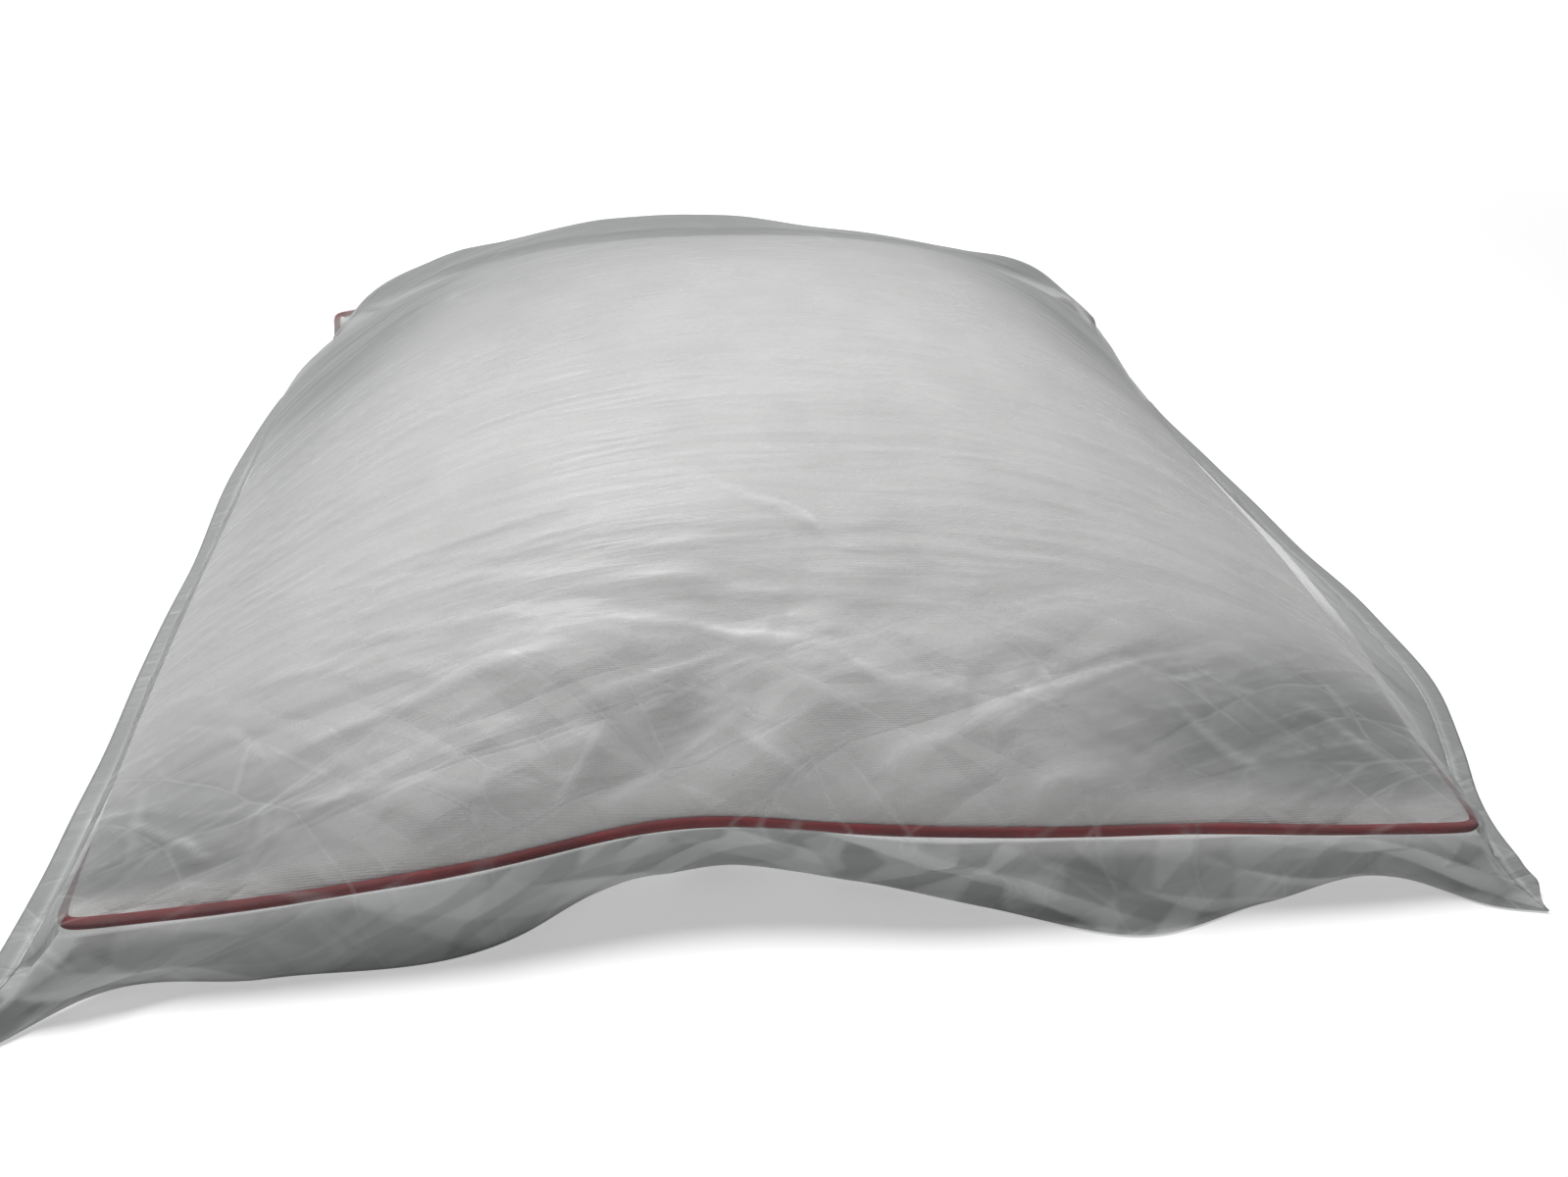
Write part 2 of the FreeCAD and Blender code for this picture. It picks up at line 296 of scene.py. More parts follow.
def plan(u, v):
    """Plan position on the seamed form; u and v run from -1 to 1 between the seams."""
    blunt_x, blunt_y = (CORNER_BLUNT * np.abs(w) ** CORNER_FALL for w in (v, u))
    drawn_in = SIDE_PULL * (1 - v ** 2) + SIDE_INSET * (1 - v ** END_FALL)
    x = u * (SEAM_HALF - drawn_in - blunt_x)
    y = v * (SEAM_HALF - SIDE_PULL * (1 - u ** 2) - blunt_y)
    notch = NOTCH_DEEP * np.exp(-((v - NOTCH_AT) / NOTCH_WIDE) ** 2) * ((1 + u) / 2) ** SIDE_FALL
    neck = EAR_IN * np.exp(-((v - EAR_AT) / EAR_LONG) ** 2) * ((1 - u) / 2) ** SIDE_FALL
    return x - notch + neck, y + PULLED_IN * front_pull(u, v)


def seam_height(u, v):
    """The seam droops to its corners and along the sides, and is pulled up in front."""
    droop = SEAM_DROOP * u ** 2 * v ** 2 + SIDE_LOW * u ** END_FALL * (1 - v ** 2)
    return SEAM_Z + SEAM_LIFT - droop + PULLED_UP * front_pull(u, v)


def top_form(u, v):
    """Seam height plus a crown; low down at the sides the crown swells outwards."""
    x, y = plan(u, v)
    crown = ((1 - np.abs(u) ** TOP_POWER) * (1 - np.abs(v) ** TOP_POWER)) ** TOP_ROUND
    crown = crown * (1 - EAR_DEEP * bump(u, v, (-1, 1), (EAR_WIDE, EAR_WIDE)))
    low = np.clip(2 * crown, 0, 1)
    bulge = np.where(u < 0, -BULGE_LEFT, BULGE_RIGHT)
    x = x + 4 * bulge * low * (1 - low) * u ** END_FALL
    rise = (CROWN_Z - SEAM_Z - SEAM_LIFT) * crown * (1 + TILT_X * u + TILT_Y * v)
    dents = mounds(x, y, DENTS) * np.minimum(1, 6 * crown)
    return np.stack([x, y, seam_height(u, v) + rise + dents], -1)


def under_form(u, v):
    """Flat where it rests, curling up to the seam all round."""
    x, y = plan(u, v)
    lift = (1 - (1 - u ** END_FALL) * (1 - v ** END_FALL)) ** CURL
    return np.stack([x, y, REST_Z + (seam_height(u, v) - REST_Z) * lift], -1)


def eased(count, ease=1.35):
    """Values from -1 to 1 that crowd towards both ends."""
    s = np.linspace(-1, 1, count)
    return np.sign(s) * (1 - (1 - np.abs(s)) ** ease)


# %% [markdown]
# ## Wrinkles
# Thin film and cloth crease like paper: long, thin, sharp, and leaning the way
# they are pulled.  Smooth noise on a stretched grid, folded about its zero
# line, gives such ridges.  On the crown they run across and bend down at both
# sides; in front they gather to one point, where the bag is caught up.

# %% Families of wrinkles
LATTICE = 128
GATHER = (0.016, -0.246)
FRONT_BEND, BACK_BEND = 0.35, 1.25      # curvature of the pull lines, per metre
BEND_RISE = (-0.22, 0.05)               # from y to y: where that curvature grows
FRONT_ENDS = (-0.245, -0.205)           # and where the gathered front turns into the crown


def lattice(x, y, seed):
    """Place within a unit cell, and the random numbers at its four corners."""
    table = np.random.default_rng(seed).uniform(-1, 1, (LATTICE, LATTICE))
    col, row = np.floor(x).astype(int), np.floor(y).astype(int)
    corners = (table[(col + i) % LATTICE, (row + j) % LATTICE] for j in (0, 1) for i in (0, 1))
    return x - col, y - row, *corners


def blended(a, b, near, right, up, both):
    """Four corner values, blended by the place (a, b) between them."""
    return (near * (1 - a) + right * a) * (1 - b) + (up * (1 - a) + both * a) * b


def noise(x, y, seed):
    """Smooth values from -1 to 1: random numbers at whole steps, eased between."""
    a, b, *corners = lattice(x, y, seed)
    return blended(a * a * (3 - 2 * a), b * b * (3 - 2 * b), *corners)


def ramp(value, low, high):
    t = np.clip((value - low) / (high - low), 0, 1)
    return t * t * (3 - 2 * t)


def ridges(p, q, seed, sharp=3.0):
    """Thin ridges, 0 to 1, long in the direction of p: noise folded about zero."""
    wander = 0.5 * noise(p * 0.6 + 11, q * 0.3 + 5, seed + 50)
    patchy = ramp(noise(p + 31, q / 3, seed + 90), -0.7, 0.4)
    return (1 - np.abs(noise(p, q + wander, seed))) ** sharp * patchy


def faceted(x, y, seed):
    """Flat triangles that meet in sharp, slightly wandering creases, -1 to 1."""
    drift_x = 0.4 * noise(0.7 * x + 3, 0.7 * y, seed + 70)
    drift_y = 0.4 * noise(0.7 * x, 0.7 * y + 9, seed + 71)
    a, b, near, right, up, both = lattice(x + drift_x, y + drift_y, seed)
    lower = near * (1 - a - b) + right * a + up * b
    upper = both * (a + b - 1) + up * (1 - a) + right * (1 - b)
    return np.where(a + b < 1, lower, upper)


# Families that cross in front: kind, height, lean and length, slant and width, seed.
FRONT_FAMILIES = [(faceted, 1.3, 0.4, 0.050, -0.3, 0.020, 9),
                  (ridges, 0.8, 0.5, 0.045, -0.25, 0.008, 12),
                  (faceted, 0.7, -0.3, 0.022, 0.2, 0.010, 14)]


def wrinkles(x, y):
    """All the wrinkles but the single creases, in millimetres.

    p and q run along and across the pull lines, which bend least in front."""
    bend = FRONT_BEND + (BACK_BEND - FRONT_BEND) * ramp(y, *BEND_RISE)
    p, q = x, y + bend * x ** 2
    front = 1 - ramp(y, *FRONT_ENDS)
    side = ramp(np.abs(x), 0.12, 0.26)
    near = (1 - front) * (1 - ramp(y, -0.10, 0.05))
    field = near * (0.30 + 0.30 * side) * ridges(p / 0.085, q / 0.0085, 1)
    field += near * 0.24 * ridges(p / 0.050, q / 0.0060, 2)
    field += (1 - front) * (0.5 + 0.4 * side) * faceted(p / 0.080, q / 0.022, 3)
    band = np.exp(-((y + 0.214) / 0.024) ** 2) * (1 - ramp(x, 0.10, 0.22)) * ramp(x, -0.26, -0.10)
    field += band * (1.1 * ridges(p / 0.060, (y + 0.05 * x) / 0.0055, 6)
                     + 1.3 * faceted(p / 0.06, y / 0.007, 7))
    dx, dy = x - GATHER[0], 1.3 * (GATHER[1] - y)
    reach, angle = np.hypot(dx, dy), np.arctan2(dx, dy)
    calm = ramp(reach, 0.02, 0.10) * (0.3 + 0.7 * np.sin(angle) ** 2)
    field += front * calm * (2.0 * faceted(reach / 0.065 + 3, angle * 3.4 + 20, 31)
                             + 0.8 * faceted(reach / 0.040 + 9, angle * 8 + 60, 37))
    for kind, high, lean, long, slant, wide, seed in FRONT_FAMILIES:
        field += front * high * kind((x + lean * y) / long, (y + slant * x) / wide, seed)
    return field


# %% [markdown]
# The strongest creases are placed one by one, each a smooth line through a few
# points of the plan.  A positive height stands proud, a negative one is a
# groove.  Shine says how strongly the doubled film shows along it, as a painted highlight:
# whiter, less clear film.

# %% Creases placed one by one
# Height and half width, shine (strength of the painted highlight), then the points (x, y), all in
# millimetres.
CREASES = [
    (1.6, 7.0, 0.35, (-71, -150), (-21, -177), (0, -191), (14, -202), (22, -227)),
    (0.8, 3.5, 0.60, (-19, -180), (-3, -184), (10, -194), (16, -203)),
    (-1.0, 4.5, 0.00, (-293, -131), (-222, -180), (-166, -197), (-90, -207), (-6, -211)),
    (-1.1, 4.0, 0.10, (-91, -223), (-45, -227), (-19, -230)),
    (-1.8, 4.5, 0.00, (-113, -224), (-79, -230), (-29, -236), (-8, -243), (11, -245)),
    (1.6, 5.0, 0.55, (-152, -228), (-79, -235), (-41, -238), (3, -251), (29, -252)),
    (-0.9, 4.0, 0.10, (26, -210), (61, -215), (98, -212), (127, -209)),
    (-1.0, 4.0, 0.20, (39, -223), (74, -221), (96, -218)),
    (-0.9, 4.0, 0.00, (98, -228), (133, -223), (166, -218)),
    (-1.2, 4.5, 0.20, (-169, -221), (-147, -219), (-134, -221), (-105, -233), (-69, -235)),
    (0.9, 4.0, 0.40, (-77, -215), (-45, -217), (-6, -221)),
    (-2.6, 6.0, 0.00, (-18, -239), (-4, -245), (14, -246)),
    (1.8, 4.5, 0.60, (9, -253), (21, -259), (52, -269), (71, -271), (92, -278)),
    (-2.2, 7.0, 0.00, (-13, -257), (-20, -267), (-26, -278)),
    (1.6, 6.0, 0.30, (-14, -257), (0, -257), (16, -263)),
    (1.5, 3.6, 0.70, (9, -300), (50, -288), (85, -279), (155, -258), (187, -242)),
    (1.2, 3.2, 0.60, (70, -290), (95, -281), (122, -272)),
    (-1.6, 5.5, 0.00, (101, -245), (111, -262), (122, -271), (137, -283), (150, -295)),
    (1.4, 3.6, 0.60, (-43, -269), (-26, -281), (-3, -299), (5, -303)),
    (-2.4, 11.0, 0.00, (-71, -267), (-54, -275), (-35, -280)),
    (-1.5, 6.0, 0.00, (-4, -292), (32, -296), (82, -298)),
    (1.4, 3.8, 0.50, (-113, -268), (-84, -259), (-51, -252), (-30, -249)),
    (1.6, 4.2, 0.60, (-246, -272), (-211, -264), (-154, -253), (-122, -245), (-97, -242)),
    (-1.3, 4.2, 0.00, (-202, -271), (-178, -270), (-130, -267), (-81, -257)),
    (-1.5, 4.5, 0.10, (-178, -285), (-154, -278), (-130, -274), (-72, -257)),
    (1.1, 3.0, 0.70, (-241, -287), (-209, -288), (-178, -288), (-142, -289)),
    (1.1, 4.2, 0.40, (-249, -232), (-223, -232), (-194, -232)),
    (1.2, 3.4, 0.60, (-258, -246), (-245, -258), (-236, -269)),
    (1.0, 3.4, 0.50, (-312, -268), (-300, -275), (-269, -279)),
    (1.3, 4.2, 0.40, (-305, -280), (-281, -287), (-255, -303), (-234, -312)),
    (-1.2, 6.5, 0.00, (-305, -255), (-266, -286), (-248, -304)),
    (1.6, 3.4, 0.70, (-115, -300), (-107, -293), (-94, -277), (-82, -265)),
    (1.3, 3.2, 0.60, (-120, -287), (-105, -281), (-97, -276), (-86, -279)),
    (-1.8, 6.0, 0.00, (-102, -300), (-80, -288), (-55, -284)),
    (1.9, 6.5, 0.40, (158, -265), (181, -281), (199, -296), (216, -308)),
    (1.9, 7.5, 0.45, (213, -266), (245, -280), (276, -294), (303, -307)),
    (-1.6, 9.0, 0.00, (165, -276), (188, -300), (201, -310)),
    (-0.8, 3.4, 0.15, (115, -159), (153, -175), (198, -187), (259, -195)),
    (1.6, 5.0, 0.40, (95, -309), (100, -303), (118, -302), (141, -304)),
    (-0.9, 4.0, 0.00, (274, -216), (299, -250), (312, -286)),
]
CREASE_SHARE = 0.62             # of those heights that the film keeps
SHINE_HALF = 0.0017             # least half width of the painted highlight, in metres


def through(value, knots):
    """A smooth curve through (where, how much) pairs; how much may be a row."""
    at, amount = np.array([k[0] for k in knots], float), np.array([k[1] for k in knots], float)
    i = np.clip(np.searchsorted(at, value) - 1, 0, len(at) - 2)
    t = np.clip((value - at[i]) / (at[i + 1] - at[i]), 0, 1)
    slope, gap = np.gradient(amount, at, axis=0), at[i + 1] - at[i]
    if amount.ndim > 1:
        t, gap = t[..., None], gap[..., None]
    return ((2 * t ** 3 - 3 * t ** 2 + 1) * amount[i] + (t ** 3 - 2 * t ** 2 + t) * gap * slope[i]
            + (3 * t ** 2 - 2 * t ** 3) * amount[i + 1] + (t ** 3 - t ** 2) * gap * slope[i + 1])


def nearest_on(line, x, y):
    """Signed distance to a line of points, and how far along it that is, 0 to 1."""
    best, where = np.full(x.shape, np.inf), np.zeros(x.shape)
    for k, (start, end) in enumerate(zip(line[:-1], line[1:])):
        step = end - start
        dx, dy = x - start[0], y - start[1]
        p = np.clip((dx * step[0] + dy * step[1]) / (step @ step), 0, 1)
        side = np.where(step[0] * dy > step[1] * dx, 1, -1)
        away = np.hypot(dx - p * step[0], dy - p * step[1]) * side
        nearer = np.abs(away) < np.abs(best)
        where = np.where(nearer, (k + p) / (len(line) - 1), where)
        best = np.where(nearer, away, best)
    return best, where


def placed_creases(x, y, broader=1.0):
    """Sum of the single creases in millimetres, and the painted highlight along them.

    Each is a pleat: steep on one side, and easing away on the other."""
    field, shine = np.zeros(x.shape), np.zeros(x.shape)
    shift_x, shift_y = noise(x / 0.03, y / 0.03, 61), noise(x / 0.03, y / 0.02, 62)
    x, y = x + 0.003 * shift_x, y + 0.003 * shift_y
    for high, half, painted_highlight, *points in CREASES:
        knots = list(enumerate(np.array(points) / 1000))
        line = through(np.linspace(0, len(points) - 1, 9), knots)
        width = 0.001 * half * broader
        low, top = line.min(0) - 8 * width, line.max(0) + 8 * width
        inside = (x > low[0]) & (x < top[0]) & (y > low[1]) & (y < top[1])
        away, where = nearest_on(line, x[inside], y[inside])
        fade = ramp(where, 0.0, 0.35) * (1 - ramp(where, 0.55, 1.0))
        steep = np.exp(-(away / (0.7 * width)) ** 2)
        gentle = np.exp(-np.abs(away) / (2.0 * width))
        pleat = np.where((away > 0) == (high > 0), steep, gentle)
        field[inside] += CREASE_SHARE * high * fade * pleat
        # Shine is a painted highlight: the film is later drawn whiter and less clear along the
        # crease.
        shine[inside] += painted_highlight * fade * np.exp(-(away / max(0.4 * width, SHINE_HALF)) ** 2)
    return field, np.clip(shine, 0, 1)


# %% [markdown]
# ## The casing
# Two square panels of white ticking are sewn together at the seam.  A short
# cloth simulation blows a slightly too large casing up against its own seam, so
# that the spare cloth buckles into soft puckers.  Only those puckers are kept,
# laid on the form.

# %% Swelling the casing
CELLS = 121
SPARE_CLOTH = 1.03
PUCKER_LIMIT, PUCKER_REACH = 0.006, 7    # metres, and cells: only shorter folds are kept
FRAMES = 16


def blurred(grid, reach):
    """Mean over a square window on a grid, edges repeated, by running sums."""
    for axis in (0, 1):
        pads = [(0, 0)] * grid.ndim
        pads[axis] = (reach + 1, reach)
        total = np.cumsum(np.pad(grid, pads, mode="edge"), axis=axis)
        width = 2 * reach + 1
        ahead = np.take(total, np.arange(width, total.shape[axis]), axis=axis)
        behind = np.take(total, np.arange(0, total.shape[axis] - width), axis=axis)
        grid = (ahead - behind) / width
    return grid


def finer(grid, times):
    """The same grid with times as many steps, blended straight between points."""
    for axis in (0, 1):
        last = grid.shape[axis] - 1
        at = np.linspace(0, last, last * times + 1)
        low = np.minimum(at.astype(int), last - 1)
        shape = [1] * grid.ndim
        shape[axis] = -1
        part = (at - low).reshape(shape)
        grid = np.take(grid, low, axis) * (1 - part) + np.take(grid, low + 1, axis) * part
    return grid


def closed_casing():
    """Both panels as one closed mesh that shares the points of the seam."""
    u, v = np.meshgrid(eased(CELLS), eased(CELLS), indexing="ij")
    top, under = top_form(u, v), under_form(u, v)
    upper = np.arange(CELLS * CELLS).reshape(CELLS, CELLS)
    lower = upper.copy()
    inner = CELLS - 2
    lower[1:-1, 1:-1] = CELLS * CELLS + np.arange(inner * inner).reshape(inner, inner)
    points = np.concatenate([top.reshape(-1, 3), under[1:-1, 1:-1].reshape(-1, 3)])
    cells = quads(CELLS, CELLS)
    faces = np.concatenate([upper.ravel()[cells], lower.ravel()[cells][:, ::-1]])
    return points, faces, upper, lower


def swollen(points, faces, pinned):
    """The closed casing after a short pressure simulation, seam held still."""
    piece = new_piece("swelling", points, faces)
    piece.shape_key_add(name="Basis")
    cut = piece.shape_key_add(name="cut")
    cut.data.foreach_set("co", (points * SPARE_CLOTH).astype(np.float32).ravel())
    piece.vertex_groups.new(name="seam").add(pinned.tolist(), 1.0, "REPLACE")
    cloth = piece.modifiers.new("swell", "CLOTH")
    rules = cloth.settings
    rules.quality, rules.mass = 5, 0.25
    rules.tension_stiffness = rules.compression_stiffness = 12
    rules.bending_stiffness = 0.15
    rules.use_pressure, rules.uniform_pressure_force = True, 2.5
    rules.effector_weights.gravity = 0
    rules.vertex_group_mass = "seam"
    rules.rest_shape_key = cut
    cloth.collision_settings.use_collision = False
    cloth.point_cache.frame_end = FRAMES
    for step in range(1, FRAMES + 1):
        bpy.context.scene.frame_set(step)
    result = piece.evaluated_get(bpy.context.evaluated_depsgraph_get()).to_mesh()
    moved = np.empty(len(points) * 3, np.float32)
    result.vertices.foreach_get("co", moved)
    bpy.context.scene.frame_set(1)
    bpy.data.objects.remove(piece)
    return moved.reshape(-1, 3).astype(float)


POINTS, FACES, UPPER, LOWER = closed_casing()
seam_ring = np.unique(np.concatenate([UPPER[0], UPPER[-1], UPPER[:, 0], UPPER[:, -1]]))
PUCKERS = swollen(POINTS, FACES, seam_ring) - POINTS
print("largest swell", round(float(np.abs(PUCKERS).max()), 4))

# %% [markdown]
# The panels also take on the broad part of the film's creases, because the tight
# bag presses them into the cloth.  Nothing moves at the seam itself.

# %% The two panels
PRESSED, BROADER = 0.0006, 1.4  # metres of cloth fold to a millimetre of film fold, and its width


def with_puckers(numbers):
    """One panel's grid: its form plus the short-range part of the swelling."""
    base, swell = POINTS[numbers], PUCKERS[numbers]
    detail = swell - blurred(swell, PUCKER_REACH)
    size = np.linalg.norm(detail, axis=-1, keepdims=True)
    kept = detail * PUCKER_LIMIT * np.tanh(size / PUCKER_LIMIT) / np.maximum(size, 1e-9)
    kept[[0, -1]] = kept[:, [0, -1]] = 0
    return finer(base + kept, 2)


def raised(grid, amount):
    """Move a grid of points along its own normals by amount, in metres."""
    normal = np.cross(np.gradient(grid, axis=0), np.gradient(grid, axis=1))
    normal /= np.maximum(np.linalg.norm(normal, axis=-1, keepdims=True), 1e-12)
    return grid + normal * amount[..., None]


def edge_fade(count, reach):
    """0 at both ends of a row of points, rising to 1 over reach steps."""
    return np.minimum(1, np.minimum(np.arange(count), np.arange(count)[::-1]) / reach)


TOP_GRID = with_puckers(UPPER)
pressed, _ = placed_creases(TOP_GRID[..., 0], TOP_GRID[..., 1], BROADER)
still = edge_fade(len(TOP_GRID), 8)
TOP_GRID = raised(TOP_GRID, PRESSED * pressed * np.minimum(still[:, None], still))
UNDER_GRID = with_puckers(LOWER)
UNDER_GRID[..., 2] = np.maximum(UNDER_GRID[..., 2], REST_Z)

# %% [markdown]
# The ticking is a soft grey white: threads too fine to count, broad lumps of
# fibre that press through, and the crumple of the tight film above.  The
# borders of random cells, drawn out along the pull lines, make that crumple:
# facets that meet in straight valleys.

# %% Ticking
def pull_pattern(recipe, place):
    """Fine pull lines, the straight creases of a crumple, and thin lines of painted highlight
    along them.

    One family follows the crown's pull lines; in front two others cross, one that
    rises to the right and one that falls."""
    x, y = recipe.part(place, "X"), recipe.part(place, "Y")
    front = 1 - recipe.ramp(y, -0.268, -0.215)
    wander = 0.012 * recipe.noise(place, 9.0, 2.0)
    bend = FRONT_BEND + (BACK_BEND - FRONT_BEND) * recipe.ramp(y, *BEND_RISE)
    crown, rising, falling = y + bend * (x * x), y - 0.24 * x, y + 0.42 * x
    crown_pull = recipe.noise(recipe.vector(13 * x, 190 * crown), 1.0, 3.0)
    front_pull_lines = recipe.noise(recipe.vector(16 * x, 150 * rising), 1.0, 3.0)
    families = ((6, 46, crown), (8, 42, rising), (15, 40, falling))
    crown_cells, rising_cells, falling_cells = (
        recipe.cell_edge(recipe.vector(along * x, across * (family + wander)))
        for along, across, family in families)
    in_front = rising_cells + 0.7 * falling_cells
    pull = crown_pull + front * (front_pull_lines - crown_pull)
    crumple = 0.45 * crown_cells + front * (in_front - 0.45 * crown_cells)
    nearest = recipe.sum("MINIMUM", rising_cells, falling_cells)
    nearest = crown_cells + front * (nearest - crown_cells)
    # Thin lines of painted highlight along the nearest crumple creases; the film draws them
    # whiter.
    hair_highlight = (1 - recipe.ramp(nearest, 0.0, 0.035)) * (0.5 + 0.5 * front)
    return pull, crumple, hair_highlight * recipe.ramp(recipe.noise(place, 16.0, 2.0), 0.42, 0.58)


def ticking_material():
    recipe = Recipe("ticking", Roughness=0.85, Sheen_Weight=0.10)
    place = recipe.place()
    weave = recipe.threads(place, 420.0, "X") + recipe.threads(place, 420.0, "Y")
    lumps = recipe.noise(place, 26.0, 2.0)
    fuzz = recipe.noise(place, 300.0, 4.0)
    colour = recipe.tint(recipe.ramp(lumps, 0.3, 0.7), (0.60, 0.60, 0.595), (0.65, 0.65, 0.645))
    pull, crumple, _ = pull_pattern(recipe, place)
    relief = 0.05 * weave + 1.2 * lumps + 0.3 * fuzz + 5.0 * crumple + 0.4 * pull
    return recipe.finish(colour=colour, relief=relief, depth=0.0010)


TICKING = ticking_material()
TICKING_THICK = 0.0005


def make_panel(name, node, grid, turn):
    cells = quads(len(grid), len(grid))[:, ::turn]
    panel = new_piece(name, grid, cells, np.stack(square(len(grid)), -1))
    thicken(panel, TICKING_THICK)
    dress(panel, node, TICKING)


make_panel("upper_panel", "casing_top", TOP_GRID, 1)
make_panel("under_panel", "casing_bottom", UNDER_GRID, -1)

# %% [markdown]
# ## The seam
# Piping is a cord in a bias-cut strip, caught in the seam by its flat tail: a
# section carried round the closed line of the seam, laid out by the direction
# that points out of the pillow and by straight up.

# %% The line of the seam
SIDE_STEPS = 180
CORNER_ROUNDS = 12               # rounds of averaging that round the corners
SEAM_WAVE = 0.0007               # the front piping is not quite straight


def seam_line():
    """Points round the seam, anticlockwise, with the corners rounded off."""
    w = eased(SIDE_STEPS, 1.15)[:-1]
    one = np.ones_like(w)
    u = np.concatenate([w, one, -w, -one])
    v = np.concatenate([-one, w, one, -w])
    x, y = plan(u, v)
    line = np.stack([x, y, seam_height(u, v)], -1)
    for _ in range(CORNER_ROUNDS):
        line = (np.roll(line, 1, 0) + 2 * line + np.roll(line, -1, 0)) / 4
    step = np.arange(len(line))
    wave = SEAM_WAVE * np.sin(step * 0.13) * np.sin(step * 0.071 + 1)
    line[:, 2] += wave * ramp(-line[:, 1], 0.25, 0.30)
    return line


def carried(line, section):
    """Carry (out, up) section points round a closed line; returns a grid."""
    ahead = np.roll(line, -1, 0) - np.roll(line, 1, 0)
    ahead[:, 2] = 0
    ahead /= np.linalg.norm(ahead, axis=1, keepdims=True)
    out = np.stack([ahead[:, 1], -ahead[:, 0], np.zeros(len(line))], -1)
    up = np.array([0.0, 0.0, 1.0])
    return line[:, None] + section[..., :1] * out[:, None] + section[..., 1:] * up


def round_the_seam(name, node, material, slot, *sections, uv=None):
    """One piece made of closed tubes along the seam, a tube for each section."""
    grids = np.stack([carried(SEAM, section) for section in sections])
    rows, around = grids.shape[1:3]
    tube = quads(rows, around, wrap_rows=True, wrap_cols=True)
    faces = np.concatenate([tube + k * rows * around for k in range(len(grids))])
    dress(new_piece(name, grids, faces, uv), node, material)
    return grids


SEAM = seam_line()
SEAM_STEP = np.linalg.norm(np.roll(SEAM, -1, 0) - SEAM, axis=1)
print("seam runs %.3f m" % SEAM_STEP.sum())

# %% [markdown]
# The strip is a dark red satin weave cut on the bias, so its fine ribs run
# round the cord at a slant.

# %% Piping
TAIL_LONG, TAIL_HALF = 0.011, 0.00045
PINCH = 0.03                     # share by which the strip swells and narrows


def piping_material():
    recipe = Recipe("piping_red", Roughness=0.5, Sheen_Weight=0.2, Specular_IOR_Level=0.3)
    ribs = recipe.stretched(recipe.place("UV"), (900.0, 1.5, 1.0), 0.6)
    ribs = recipe.threads(ribs, 1.0, "X")
    wear = recipe.noise(recipe.place(), 60.0, 3.0)
    colour = recipe.tint(recipe.ramp(wear + 0.2 * ribs, 0.35, 0.85),
                         (0.21, 0.007, 0.014), (0.34, 0.010, 0.020))
    return recipe.finish(colour=colour, relief=ribs + 0.8 * wear, depth=0.0004)


def keyhole_section(count=18):
    """Round over the cord, with a flat tail that runs inwards."""
    open_angle = np.arcsin(TAIL_HALF / PIPING_R)
    angle = np.linspace(np.pi + open_angle, 3 * np.pi - open_angle, count) - 2 * np.pi
    ring = PIPING_R * np.stack([np.cos(angle), np.sin(angle)], -1)
    tail = np.array([[-TAIL_LONG, TAIL_HALF], [-TAIL_LONG, -TAIL_HALF]])
    return np.concatenate([ring, tail])


def make_piping_cover():
    """Its UV map holds metres along the seam and turns around the cord."""
    section = keyhole_section()
    step = np.arange(len(SEAM))
    pinch = 1 + PINCH * np.sin(step * 0.37) * np.sin(step * 0.11)
    along = np.concatenate([[0], np.cumsum(SEAM_STEP)[:-1]])
    turns = np.arange(len(section)) / len(section)
    return round_the_seam("red_piping", "piping_cover", piping_material(), "piping",
                          section * pinch[:, None, None],
                          uv=np.stack(np.meshgrid(along, turns, indexing="ij"), -1))


PIPING = make_piping_cover()[0]

# %% [markdown]
# The cord inside is three cotton strands laid together: one wavy section that
# turns as it goes along.

# %% Filler cord and sewing thread
CORD_R = 0.0019
THREAD_R = 0.0003
THREAD_INSET = 0.007
STRANDS, LAYS = 3, 90            # strands, and turns of the lay along the seam
STITCH_DIP = 0.00015


FIBRE_WHITE = (0.80, 0.80, 0.79)


def fibre_material(name, colour, scale):
    recipe = Recipe(name, Roughness=0.9)
    fluff = recipe.noise(recipe.place(), scale, 4.0)
    darker = tuple(0.86 * c for c in colour)
    return recipe.finish(colour=recipe.tint(fluff, darker, colour), relief=fluff, depth=0.001)


def make_cord():
    angle = np.linspace(0, 2 * np.pi, 18, endpoint=False)
    lay = np.linspace(0, 2 * np.pi * LAYS, len(SEAM), endpoint=False)
    radius = CORD_R * (0.9 + 0.1 * np.abs(np.cos((STRANDS * angle - lay[:, None]) / 2)))
    cotton = fibre_material("cotton_cord", (0.62, 0.58, 0.50), 900.0)
    round_the_seam("cord_inside", "piping_cord", cotton, "filler_cord",
                   radius[..., None] * circle(len(angle)))


def make_seam_stitching():
    """An upper and a lower thread that dip at every stitch."""
    high = TAIL_HALF + THREAD_R + STITCH_DIP * np.cos(np.arange(len(SEAM)) * np.pi)
    inset = np.full(len(SEAM), -THREAD_INSET)
    threads = (THREAD_R * circle(6) + np.stack([inset, side * high], -1)[:, None]
               for side in (1, -1))
    round_the_seam("seam_threads", "seam_stitching", THREAD, "thread", *threads)


THREAD = fibre_material("sewing_thread", (0.70, 0.70, 0.68), 2500.0)
make_cord()
make_seam_stitching()

# %% [markdown]
# The filling went in through a gap in the back seam, which a straight row of
# stitches closes.  Beside it a blank folded tape, the care label, is caught in
# the seam.

